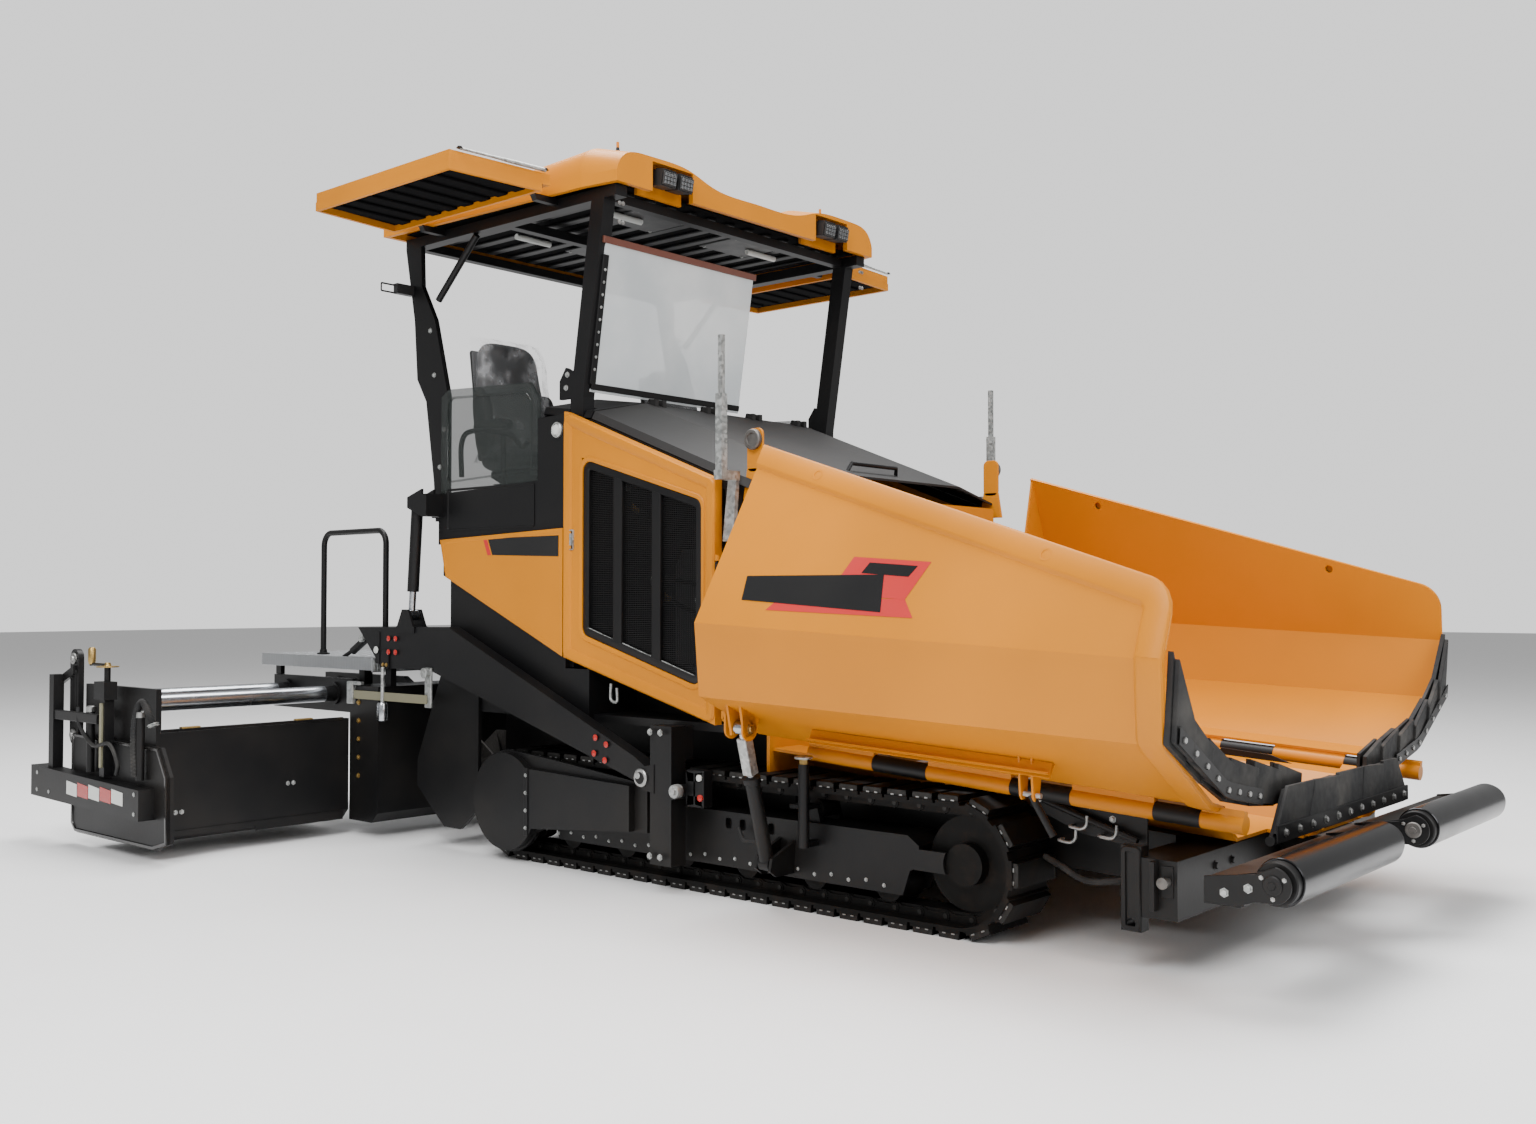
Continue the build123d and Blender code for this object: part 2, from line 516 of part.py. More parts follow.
grille_outline = [(-280, 2165), (585, 1905), (585, 985), (-280, 1235)]
for side, hand in HANDS.items():
    with BuildPart() as side_door:
        slab([(DOOR_REAR, 1115), (DOOR_FRONT, 818), (DOOR_FRONT, 2000), (DOOR_REAR, 2420)],
             (hand * (BODY_HALF - 22), hand * (BODY_HALF + PANEL)))
        slab(grille_outline, (hand * (BODY_HALF - 35), hand * (BODY_HALF + 35)), Mode.SUBTRACT)
        for z in DOOR_HINGES:
            for start in (z - 34, z + 46):
                rod((DOOR_HINGE_X, hand * DOOR_HINGE_Y, start), (DOOR_HINGE_X, hand * DOOR_HINGE_Y, start + 28), 12)
                block((DOOR_FRONT - 10, DOOR_HINGE_X - 3), (hand * (DOOR_HINGE_Y - 12), hand * DOOR_HINGE_Y), (start, start + 28))
            rod((DOOR_HINGE_X, hand * DOOR_HINGE_Y, z - 40), (DOOR_HINGE_X, hand * DOOR_HINGE_Y, z + 80), 6, Mode.SUBTRACT)
    finish(side_door, f"side_door_{side}")
    with BuildPart() as door_grille:
        x0, x1 = grille_outline[0][0], grille_outline[1][0]
        inset = SEAT
        frame = [(x0 + inset, 2165 - inset), (x1 - inset, 1905 - inset), (x1 - inset, 985 + inset),
                 (x0 + inset, 1235 + inset)]
        hole = [(x0 + 45, 2165 - 62), (x1 - 45, 1905 - 42), (x1 - 45, 985 + 62), (x0 + 45, 1235 + 42)]
        slab(frame, (hand * (BODY_HALF - 20), hand * (BODY_HALF + 13)))
        slab(hole, (hand * (BODY_HALF - 25), hand * (BODY_HALF + 15)), Mode.SUBTRACT)
        for x in (-15, 265):
            top = 2165 + (1905 - 2165) * (x - x0) / (x1 - x0)
            foot = 1235 + (985 - 1235) * (x - x0) / (x1 - x0)
            slab([(x - 28, top - 30), (x + 28, top - 45), (x + 28, foot + 30), (x - 28, foot + 45)],
                 (hand * (BODY_HALF - 20), hand * (BODY_HALF + 13)))
        for i in range(26):
            z = 1040 + i * 42
            first = x0 + 20 if z > 1290 else x0 + 20 + (1290 - z) * 3.46
            last = x1 - 20 if z < 1850 else x1 - 20 - (z - 1850) * 3.3
            if last - first > 60:
                block((first, last), (hand * (BODY_HALF - 15), hand * (BODY_HALF - 3)), (z, z + 14))
    finish(door_grille, f"door_grille_{side}")

# ---------------------------------------------------------------- platform
SIDE_OUT = BODY_HALF - 1
front_foot = (-400, 2500)
front_head = (-240, ROOF_LOW - 60)


def post_front(z):
    """X of the front posts' front face at a height."""
    return front_foot[0] + 50 + (front_head[0] - front_foot[0]) * (z - front_foot[1]) / (front_head[1] - front_foot[1])


with BuildPart() as platform:
    block((PLATFORM_REAR, DOOR_REAR - 15), (-SIDE_OUT, SIDE_OUT), (PLATFORM_Z - 30, PLATFORM_Z))
    for hand in HANDS.values():
        side_face = (hand * (SIDE_OUT - 24), hand * SIDE_OUT)
        slab([(PLATFORM_REAR, PLATFORM_Z - 5), (PLATFORM_FRONT, PLATFORM_Z - 5), (PLATFORM_FRONT, 2065),
              (PLATFORM_REAR, 2035)], side_face)
        slab([(PLATFORM_FRONT - 5, PLATFORM_Z - 5), (DOOR_REAR - 15, PLATFORM_Z - 5), (DOOR_REAR - 15, 2415),
              (PLATFORM_FRONT - 5, 2405)], side_face)
    section(both([(SIDE_OUT - 12, PLATFORM_Z - 5), (SIDE_OUT - 12, 2410), (BODY_HALF - 65, 2440), (700, 2535)]),
            (PLATFORM_FRONT, PLATFORM_FRONT + 25))
    sections = []
    for x in (PLATFORM_FRONT, hood_rear - 10):
        edge = hood_edge(DOOR_REAR) + 8 if x < DOOR_REAR else hood_edge(x) + 8
        with BuildSketch(Plane.YZ.offset(x)) as profile:
            with BuildLine():
                Polyline(*band(both([(y, edge + z) for y, z in crown]), -12), close=True)
            make_face()
        sections.append(profile.sketch)
    loft(sections, ruled=True)
    for hand in HANDS.values():
        block((front_foot[0] - 65, front_foot[0] + 65), (hand * (POST_Y - POST_WIDTH - 15), hand * (POST_Y + 15)),
              (2340, 2600), Mode.SUBTRACT)
        pin_x, pin_y, pin_z = LIFT_PIN_HIGH
        block((PLATFORM_REAR, PLATFORM_REAR + 50), (hand * (SIDE_OUT - 5), hand * (pin_y + 49)), (1900, 2030))
        for y in (pin_y - 49, pin_y + 35):
            slab([(PLATFORM_REAR + 5, 1900), (pin_x - 35, pin_z - 30), (pin_x - 35, pin_z + 32),
                  (PLATFORM_REAR + 5, 2060)], (hand * y, hand * (y + 14)))
        rod((pin_x, hand * (pin_y - 45), pin_z), (pin_x, hand * (pin_y + 45), pin_z), BARREL_PIN - RUN)
        for y in HOOD_HINGES:
            block((HOOD_HINGE_X - 40, HOOD_HINGE_X - 4), (hand * y, hand * (y + 30)), (2470, HOOD_HINGE_Z))
            rod((HOOD_HINGE_X, hand * y, HOOD_HINGE_Z), (HOOD_HINGE_X, hand * (y + 30), HOOD_HINGE_Z), 11)
            rod((HOOD_HINGE_X, hand * (y - 25), HOOD_HINGE_Z), (HOOD_HINGE_X, hand * (y + 55), HOOD_HINGE_Z), 5 - RUN)
finish(platform, "platform")

with BuildPart() as side_windows:
    for hand in HANDS.values():
        face = (hand * (SIDE_OUT - 24), hand * SIDE_OUT)
        slab([(PLATFORM_REAR + 20, 2036 + SEAT), (PLATFORM_FRONT - 8, 2066 + SEAT), (PLATFORM_FRONT - 8, 2520),
              (-740, 2610), (PLATFORM_REAR + 90, 2640), (PLATFORM_REAR + 20, 2600)], face)
        slab([(PLATFORM_REAR + 75, 2100), (PLATFORM_FRONT - 60, 2125), (PLATFORM_FRONT - 60, 2500),
              (-770, 2560), (PLATFORM_REAR + 110, 2590), (PLATFORM_REAR + 75, 2560)],
             (hand * (SIDE_OUT - 30), hand * (SIDE_OUT - 16)), Mode.SUBTRACT)
        slab([(PLATFORM_REAR + 75, 2100), (PLATFORM_FRONT - 60, 2125), (PLATFORM_FRONT - 60, 2500),
              (-770, 2560), (PLATFORM_REAR + 110, 2590), (PLATFORM_REAR + 75, 2560)],
             (hand * (SIDE_OUT - 8), hand * (SIDE_OUT + 10)), Mode.SUBTRACT)
finish(side_windows, "side_windows")

with BuildPart() as console:
    slab([(PLATFORM_FRONT - SEAT, PLATFORM_Z + SEAT), (PLATFORM_FRONT - 180, PLATFORM_Z + SEAT),
          (PLATFORM_FRONT - 240, 2280), (PLATFORM_FRONT - 190, 2420), (PLATFORM_FRONT - SEAT, 2440)], (-380, 380))
finish(console, "console")

with BuildPart() as seats:
    for hand in HANDS.values():
        middle = hand * 700
        span = (middle - 250, middle + 250)
        block((-1380, -1060), (middle - 170, middle + 170), (PLATFORM_Z + SEAT, 2175))
        slab([(-1450, 2140), (-960, 2170), (-930, 2240), (-960, 2290), (-1330, 2270), (-1440, 2250)], span)
        slab([(-1330, 2235), (-1420, 2900), (-1480, 2960), (-1530, 2930), (-1438, 2225)], span)
finish(seats, "seats")

# ---------------------------------------------------------------- canopy
rear_line = [(-1530, 1880), (-1530, 2620), (-1660, ROOF_LOW - 520), (-1790, ROOF_LOW - 300),
             (-1800, ROOF_LOW - 60)]
rear_back = [(-1950, ROOF_LOW - 60), (-1860, ROOF_LOW - 500), (-1830, 2740), (-1740, 2600), (-1660, 2120), (-1640, 1880)]
with BuildPart() as canopy_frame:
    for hand in HANDS.values():
        face = (hand * (POST_Y - POST_WIDTH), hand * POST_Y)
        slab([(front_foot[0] - 50, 2360 + SEAT), (front_foot[0] + 50, 2360 + SEAT), (front_foot[0] + 50, front_foot[1]),
              (front_head[0] + 50, front_head[1]), (front_head[0] - 50, front_head[1]),
              (front_foot[0] - 50, front_foot[1])], face)
        slab([(-540, 2500), (-440, 2500), (-430, 2640), (-490, 2670), (-540, 2600)],
             (hand * (POST_Y - 24), hand * POST_Y))
        slab(rear_line + rear_back, (hand * (POST_Y - 30), hand * POST_Y))
        block((-1650, -1540), (hand * (POST_Y - 5), hand * (SIDE_OUT - 24 - SEAT)), (1900, 2030))
        slab([(ROOF_REAR + 40, ROOF_LOW - 60), (ROOF_FRONT - 40, ROOF_LOW - 60), (ROOF_FRONT - 40, ROOF_LOW),
              (ROOF_REAR + 40, ROOF_LOW)], face)
    for hand in HANDS.values():
        for x in FLAP_HINGES:
            arm = [(POST_Y - 20, -35), (FLAP_HINGE_Y - 20, -35), (FLAP_HINGE_Y - 7, -12), (FLAP_HINGE_Y + 3, -2),
                   (FLAP_HINGE_Y - 1, 8), (FLAP_HINGE_Y - 13, -2), (FLAP_HINGE_Y - 45, 0), (POST_Y - 20, 0)]
            section([(hand * y, ROOF_LOW + lift) for y, lift in arm], (x, x + 40))
            rod((x, hand * FLAP_HINGE_Y, FLAP_HINGE_Z), (x + 40, hand * FLAP_HINGE_Y, FLAP_HINGE_Z), 14)
            rod((x - 32, hand * FLAP_HINGE_Y, FLAP_HINGE_Z), (x + 72, hand * FLAP_HINGE_Y, FLAP_HINGE_Z), 7 - RUN)
    for x in (-1940, -1100, -280):
        block((x, x + 60), (-POST_Y + POST_WIDTH - 5, POST_Y - POST_WIDTH + 5), (ROOF_LOW - 55, ROOF_LOW - 5))
finish(canopy_frame, "canopy_frame")


def roof_profile(x, half, shoulder, middle, shell):
    """The roof cut across at X: a raised, rounded shoulder on each side and a lower middle."""
    with BuildSketch(Plane.YZ.offset(x)) as profile:
        with BuildLine():
            side = half - shell
            eave = ROOF_LOW + 60
            Polyline((side, eave), (side, ROOF_LOW + SEAT), (-side, ROOF_LOW + SEAT), (-side, eave))
            crown = [(0.93, 0.72), (0.80, 0.97), (0.66, 1.0), (0.50, 0.82), (0.36, 0.25)]
            rising = [(-part * half, middle + (shoulder - middle) * lift - shell) for part, lift in crown]
            falling = [(-y, z) for y, z in rising[::-1]]
            Spline((-side, eave), *rising, (0, middle - shell), *falling, (side, eave))
        make_face()
    return profile.sketch


with BuildPart() as canopy_roof:
    for shell, mode in ((0, Mode.ADD), (ROOF_SHELL, Mode.SUBTRACT)):
        loft([roof_profile(ROOF_REAR + shell, ROOF_REAR_HALF, ROOF_LOW + 150, ROOF_LOW + 110, shell),
              roof_profile(ROOF_PEAK, (ROOF_REAR_HALF + 2 * ROOF_FRONT_HALF) / 3, ROOF_TOP, ROOF_LOW + 150, shell),
              roof_profile(ROOF_FRONT - shell, ROOF_FRONT_HALF, ROOF_TOP - 65, ROOF_LOW + 105, shell)],
             ruled=True, mode=mode)
    for hand in HANDS.values():
        block((ROOF_FRONT - 110, ROOF_FRONT + 10), (hand * LAMP_BAY[0], hand * LAMP_BAY[1]), (ROOF_LOW - 20, ROOF_LOW + 160),
              Mode.SUBTRACT)
        block((ROOF_FRONT - 125, ROOF_FRONT - 105), (hand * (LAMP_BAY[0] - 15), hand * (LAMP_BAY[1] + 15)),
              (ROOF_LOW + SEAT, ROOF_LOW + 175))
        block((ROOF_FRONT - 125, ROOF_FRONT - 60), (hand * (LAMP_BAY[0] - 15), hand * (LAMP_BAY[1] + 15)),
              (ROOF_LOW + 155, ROOF_LOW + 168))
        rod((ROOF_PEAK, hand * 880, ROOF_TOP - 25), (ROOF_PEAK, hand * 880, ROOF_TOP + 55), 8)
finish(canopy_roof, "canopy_roof")

for side, hand in HANDS.items():
    with BuildPart() as canopy_flap:
        with BuildSketch(Plane.XY.offset(FLAP_HINGE_Z)) as profile:
            with BuildLine():
                Polyline((-430, hand * FLAP_HINGE_Y), (-480, hand * FLAP_OUTER_Y), (-1680, hand * FLAP_OUTER_Y),
                         (-1740, hand * FLAP_HINGE_Y), close=True)
            make_face()
        extrude(profile.sketch, amount=FLAP_THICKNESS)
        ribs = (-1700, -1570, -1330, -1100, -870, -640, -440)
        for rear, front in zip(ribs, ribs[1:]):
            inside = (max(rear + 18, -1655), min(front - 18, -510))
            block(inside, (hand * (FLAP_HINGE_Y + 45), hand * (FLAP_OUTER_Y - 25)),
                  (FLAP_HINGE_Z - 1, FLAP_HINGE_Z + FLAP_THICKNESS - 12), Mode.SUBTRACT)
        for x in FLAP_HINGES:
            block((x - 6, x + 46), (hand * (FLAP_HINGE_Y - 2), hand * (FLAP_HINGE_Y + 22)),
                  (FLAP_HINGE_Z - 2, FLAP_HINGE_Z + 22), Mode.SUBTRACT)
            for start in (x - 36, x + 46):
                rod((start, hand * FLAP_HINGE_Y, FLAP_HINGE_Z), (start + 30, hand * FLAP_HINGE_Y, FLAP_HINGE_Z), 14)
            rod((x - 40, hand * FLAP_HINGE_Y, FLAP_HINGE_Z), (x + 80, hand * FLAP_HINGE_Y, FLAP_HINGE_Z), 7, Mode.SUBTRACT)
    finish(canopy_flap, f"canopy_flap_{side}")

with BuildPart() as work_lamps:
    for hand in HANDS.values():
        for y in (LAMP_BAY[0] + 35, LAMP_BAY[1] - 145):
            slab([(ROOF_FRONT - 75, ROOF_LOW + 50), (ROOF_FRONT + 25, ROOF_LOW + 35), (ROOF_FRONT + 40, ROOF_LOW + 115),
                  (ROOF_FRONT - 50, ROOF_LOW + 135)],
                 (hand * y, hand * (y + 110)))
            block((ROOF_FRONT - 105 + SEAT, ROOF_FRONT - 50), (hand * (y + 35), hand * (y + 75)),
                  (ROOF_LOW + 70, ROOF_LOW + 110))
        block((-1905, -1865), (hand * (POST_Y + SEAT), hand * (POST_Y + 120)), (ROOF_LOW - 350, ROOF_LOW - 290))
finish(work_lamps, "work_lamps")

with BuildPart() as windscreen:
    slab([(post_front(z) + gap, z) for z, gap in ((2530, SEAT), (2530, SEAT + 8), (ROOF_LOW - 270, SEAT + 8),
                                                    (ROOF_LOW - 270, SEAT))],
         (-(POST_Y - 40), 140))
finish(windscreen, "windscreen")

mast_y = BODY_HALF + 75
with BuildPart() as masts:
    for hand in HANDS.values():
        block((740, 780), (hand * (mast_y - 20), hand * (mast_y + 20)), (2030, 2400))
        block((748, 772), (hand * (mast_y - 12), hand * (mast_y + 12)), (2395, 2680))
        block((735, 785), (hand * (POST_OUT + SEAT), hand * (mast_y + 25)), (1990, 2035))
        slab([(DOOR_FRONT + 20, 1700), (DOOR_FRONT + 85, 1700), (785, 2035), (735, 2035)],
             (hand * (POST_OUT + SEAT), hand * (POST_OUT + 25)))
finish(masts, "masts")

# ---------------------------------------------------------------- hopper
wall_start = HOPPER_WALL_X - HINGE_X
floor_line = both([(HINGE_Y - 65, -22), (CHASSIS_HALF + 10, -24), (TUNNEL_OUTER + 10, -BED_DROP), (78, -BED_DROP), (30, -BED_DROP + 80)])


def rim_height(run):
    return RIM_REAR + (RIM_FRONT - RIM_REAR) * (run - WING_REAR) / (WING_FRONT - WING_REAR)


rim_angle = math.atan2(RIM_REAR - RIM_FRONT, WING_FRONT - WING_REAR)
round_run = WING_FRONT - RIM_CORNER
round_height = rim_height(round_run) - RIM_CORNER / math.cos(rim_angle)
fixed_knuckles = ((366, 656), (1066, 1346), (1696, 1886))
wing_knuckles = ((0, 366), (656, 1066), (1346, 1696), (1886, WING_FRONT + 90))
with BuildPart() as hopper_tub:
    hopper_bar(band(floor_line, BED_PLATE), wall_start - 20, WING_FRONT - 100)
    hopper_bar([(-350, -BED_DROP), (350, -BED_DROP), (350, -BED_DROP - BED_PLATE), (-350, -BED_DROP - BED_PLATE)],
               WING_FRONT - 105, WING_FRONT + 50)
    section(both([(HINGE_Y - 50, 1950), (HINGE_Y - 40, 690), (HINGE_Y - 40, 600)]), (CHASSIS_FRONT + 12, HOPPER_WALL_X - 5))
    for hand in HANDS.values():
        lug = (hand * 300, hand * 330)
        ear = [(-145, -37), (-35, -43), (10, -30), (30, -10), (30, 12), (11, 30), (-17, 28), (-105, -20)]
        slab([(APRON_X + x, APRON_Z + z) for x, z in ear], lug)
        rod((APRON_X, hand * 290, APRON_Z), (APRON_X, hand * 340, APRON_Z), 18 + RUN, Mode.SUBTRACT)
    for hand in HANDS.values():
        block((CHASSIS_FRONT, HOPPER_WALL_X), (hand * TUNNEL_INNER, hand * TUNNEL_OUTER), (400, TUNNEL_HIGH - 20),
              Mode.SUBTRACT)
        for start, end in fixed_knuckles:
            with BuildSketch(HOPPER.offset(start + SEAT)) as knuckle:
                with Locations((hand * HINGE_Y, 0)):
                    Circle(HINGE_RADIUS)
                with BuildLine():
                    Polyline((hand * (HINGE_Y - 80), -36), (hand * (HINGE_Y - 10), -34), (hand * (HINGE_Y - 10), 10),
                             (hand * (HINGE_Y - 80), -23), close=True)
                make_face()
            extrude(knuckle.sketch, amount=end - start - 2 * SEAT)
finish(hopper_tub, "hopper_tub")

with BuildPart() as conveyors:
    for hand in HANDS.values():
        for i in range(7):
            place = wall_start + 40 + i * 290
            hopper_bar([(hand * 100, -BED_DROP + SEAT), (hand * (TUNNEL_OUTER - 25), -BED_DROP + SEAT),
                        (hand * (TUNNEL_OUTER - 25), -BED_DROP + 26), (hand * 100, -BED_DROP + 26)],
                       place, place + 50)
        for y in (130, TUNNEL_OUTER - 80):
            hopper_bar([(hand * y, -BED_DROP + SEAT), (hand * (y + 30), -BED_DROP + SEAT),
                        (hand * (y + 30), -BED_DROP + 18), (hand * y, -BED_DROP + 18)],
                       wall_start + 45, wall_start + 45 + 6 * 290)
finish(conveyors, "conveyors")

def apron_foot(y):
    """Height of the strips' lower edge above the hinge."""
    return stepped(y, ((400, 20), (700, 12), (1140, 90), (1590, 330)))


def apron_top(y):
    return stepped(y, ((400, 150), (1150, 250), (1450, 420), (1590, 650)))


def stepped(place, table):
    """A height read from a table of places and heights, straight between them."""
    for (start, low), (end, high) in zip(table, table[1:]):
        if place <= end:
            return low + (high - low) * (place - start) / (end - start)
    return table[-1][1]


STRIP_EDGES = (410, 620, 860, 1090, 1290, 1450, 1585)

# Rows: distance from the middle, height over the hinge line at the rear and at the front
WING_LINE = ((HINGE_Y - 15, HINGE_Y - 15, 44, 44), (HINGE_Y + 100, HINGE_Y + 100, 62, 70),
             (HINGE_Y + 520, HINGE_Y + 520, 258, 318), (HINGE_Y + 572, HINGE_Y + 572, 588, 618),
             (HINGE_Y + 145, HINGE_Y + 497, 1405, 880))


def wing_line(hand, run, rim):
    """The wing cut across at a run along its hinge, up to a rim height."""
    share = (run - WING_REAR) / (WING_FRONT - WING_REAR)
    line = [(rear_y + (front_y - rear_y) * share, rear_z + (front_z - rear_z) * share)
            for rear_y, front_y, rear_z, front_z in WING_LINE]
    (foot_y, foot_z), (rim_y, rim_z) = line[-2:]
    reach = (rim - foot_z) / (rim_z - foot_z)
    line[-1] = (foot_y + (rim_y - foot_y) * reach, rim)
    return [(hand * y, z) for y, z in line]


rim_angles = [(math.pi / 2 - rim_angle) * (1 - step / 4) for step in range(5)]
rim_corner = [(round_run + RIM_CORNER * math.cos(angle), round_height + RIM_CORNER * math.sin(angle)) for angle in rim_angles]
for side, hand in HANDS.items():
    rear = [(hand * row[0], row[2]) for row in WING_LINE]
    cuts = [(WING_REAR, RIM_REAR)] + rim_corner
    with BuildPart() as hopper_wing:
        hopper_chain([band(wing_line(hand, run, rim), hand * WING_PLATE) for run, rim in cuts], [run for run, rim in cuts])
        hopper_bar(rear + [(hand * (HINGE_Y - 35), 60)], WING_REAR, WING_REAR + WING_PLATE)
        for start, end in wing_knuckles:
            with BuildSketch(HOPPER.offset(start + SEAT)) as knuckle:
                with Locations((hand * HINGE_Y, 0)):
                    Circle(HINGE_RADIUS)
                with BuildLine():
                    Polyline((hand * (HINGE_Y - 12), 20), (hand * (HINGE_Y + 20), 20), (hand * (HINGE_Y + 20), 56),
                             (hand * (HINGE_Y - 12), 50), close=True)
                make_face()
            extrude(knuckle.sketch, amount=end - start - 2 * SEAT)
        pin_y, pin_h = WING_PIN_HIGH
        for run in (WING_PIN_RUN - 46, WING_PIN_RUN + 32):
            hopper_bar([(hand * (pin_y - 60), pin_h + 45), (hand * (pin_y - 30), pin_h - 35),
                        (hand * (pin_y + 30), pin_h - 35), (hand * (pin_y + 70), pin_h + 105)], run, run + 14)
        rod(hopper_point(hand * pin_y, pin_h, WING_PIN_RUN - 40), hopper_point(hand * pin_y, pin_h, WING_PIN_RUN + 40),
            WING_EYE_PIN)
        for run in (160, 1420):
            height = rim_height(run) - RIM_BAND
            rod(hopper_point(hand * (HINGE_Y - 50), height, run), hopper_point(hand * (HINGE_Y + 750), height, run), 19,
                Mode.SUBTRACT)
        stiffener = [(262, 150), (270, 150), (302, 96), (294, 92)]
        hopper_loft([(hand * (HINGE_Y + out), up) for out, up in stiffener],
                    [(hand * (HINGE_Y + out), up + 15) for out, up in stiffener], 220, 1400)
    finish(hopper_wing, f"hopper_wing_{side}")

    with BuildPart() as wing_apron:
        for i in range(len(STRIP_EDGES) - 1):
            inner, outer = STRIP_EDGES[i] - 10, STRIP_EDGES[i + 1]
            hopper_bar([(hand * inner, apron_foot(inner)), (hand * outer, apron_foot(outer)),
                        (hand * outer, apron_top(outer) + 8), (hand * inner, apron_top(inner) - 14)],
                       WING_FRONT + SEAT, WING_FRONT + 14 + 7 * (i % 2))
    finish(wing_apron, f"wing_apron_{side}")

with BuildPart() as front_apron:
    for i in range(5):
        foot, next_foot = -800 + 320 * i, -480 + 320 * i
        top, next_top = -650 + 260 * i, -390 + 260 * i
        section([(max(foot - 10, -800), APRON_Z), (next_foot, APRON_Z), (next_top, APRON_Z + 190),
                 (top - 10, APRON_Z + 184)], (APRON_X - 7, APRON_X + 7 + 7 * (i % 2)))
    for hand in HANDS.values():
        block((APRON_X - 20, APRON_X + 20), (hand * 292, hand * 338), (APRON_Z - 5, APRON_Z + 42), Mode.SUBTRACT)
    rod((APRON_X, -800, APRON_Z), (APRON_X, 800, APRON_Z), 18)
finish(front_apron, "front_apron")

# ---------------------------------------------------------------- push rollers
beam_rear = 3215
with BuildPart() as push_beam:
    with BuildSketch(Plane.XY.offset(360)) as plan:
        with BuildLine():
            Polyline((PUSH_PIVOT_X - 60, -160), (beam_rear, -210), (beam_rear, -PUSH_OUTER - 30), (3350, -PUSH_OUTER - 30),
                     (3350, PUSH_OUTER + 30), (beam_rear, PUSH_OUTER + 30), (beam_rear, 210),
                     (PUSH_PIVOT_X - 60, 160), close=True)
        make_face()
    extrude(plan.sketch, amount=80)
    block((PUSH_PIVOT_X - 60, PUSH_PIVOT_X + 60), (-160, 160), (330 + SEAT, 365))
    rod((PUSH_PIVOT_X, 0, 250), (PUSH_PIVOT_X, 0, 480), 30, Mode.SUBTRACT)
    for hand in HANDS.values():
        for y in (PUSH_INNER - 22, PUSH_OUTER + 2):
            slab([(3300, 370), (3300, 465), (PUSH_X - 20, PUSH_Z + 45), (PUSH_X + 45, PUSH_Z + 20),
                  (PUSH_X + 45, PUSH_Z - 30), (PUSH_X - 30, PUSH_Z - 50)], (hand * y, hand * (y + 20)))
finish(push_beam, "push_beam")

for side, hand in HANDS.items():
    with BuildPart() as push_roller:
        rod((PUSH_X, hand * (PUSH_INNER + SEAT), PUSH_Z), (PUSH_X, hand * (PUSH_OUTER + 2 - SEAT), PUSH_Z), PUSH_RADIUS)
    finish(push_roller, f"push_roller_{side}")


# ---------------------------------------------------------------- cylinders
def along(start, end, distance):
    """The point at a distance from one point towards another."""
    direction = (Vector(*end) - Vector(*start)).normalized()
    return tuple(Vector(*start) + direction * distance)


def eye(centre, length, radius, across):
    """A drum for a pin, lying along its pin."""
    half = Vector(*across) * (length / 2)
    rod(tuple(Vector(*centre) - half), tuple(Vector(*centre) + half), radius)


for side, hand in HANDS.items():
    cylinders = (
        ("wing", hopper_point(hand * WING_PIN_LOW[0], WING_PIN_LOW[1], WING_PIN_RUN),
         hopper_point(hand * WING_PIN_HIGH[0], WING_PIN_HIGH[1], WING_PIN_RUN), 430, 34, 20, ALONG,
         WING_EYE_PIN + WING_EYE_DRIFT, 60),
        ("lift", (LIFT_PIN_HIGH[0], hand * LIFT_PIN_HIGH[1], LIFT_PIN_HIGH[2]),
         (LIFT_PIN_LOW[0], hand * LIFT_PIN_LOW[1], LIFT_PIN_LOW[2]), 520, 34, 20, (0, 1, 0), LIFT_EYE_PIN + LIFT_EYE_DRIFT, 60),
    )
    for kind, base, tip, barrel_length, barrel_radius, rod_radius, across, eye_bore, eye_length in cylinders:
        half = Vector(*across) * eye_length
        with BuildPart() as cylinder:
            rod(along(base, tip, 22), along(base, tip, barrel_length), barrel_radius)
            eye(base, eye_length, 34, across)
            rod(tuple(Vector(*base) - half), tuple(Vector(*base) + half), BARREL_PIN, Mode.SUBTRACT)
            rod(along(base, tip, 60), along(base, tip, barrel_length + 10), rod_radius + RUN, Mode.SUBTRACT)
        finish(cylinder, f"{kind}_cylinder_{side}")
        with BuildPart() as piston_rod:
            reach = math.dist(base, tip)
            rod(along(base, tip, 230), along(base, tip, reach - 20), rod_radius)
            eye(tip, eye_length, 32, across)
            rod(tuple(Vector(*tip) - half), tuple(Vector(*tip) + half), eye_bore, Mode.SUBTRACT)
        finish(piston_rod, f"{kind}_rod_{side}")

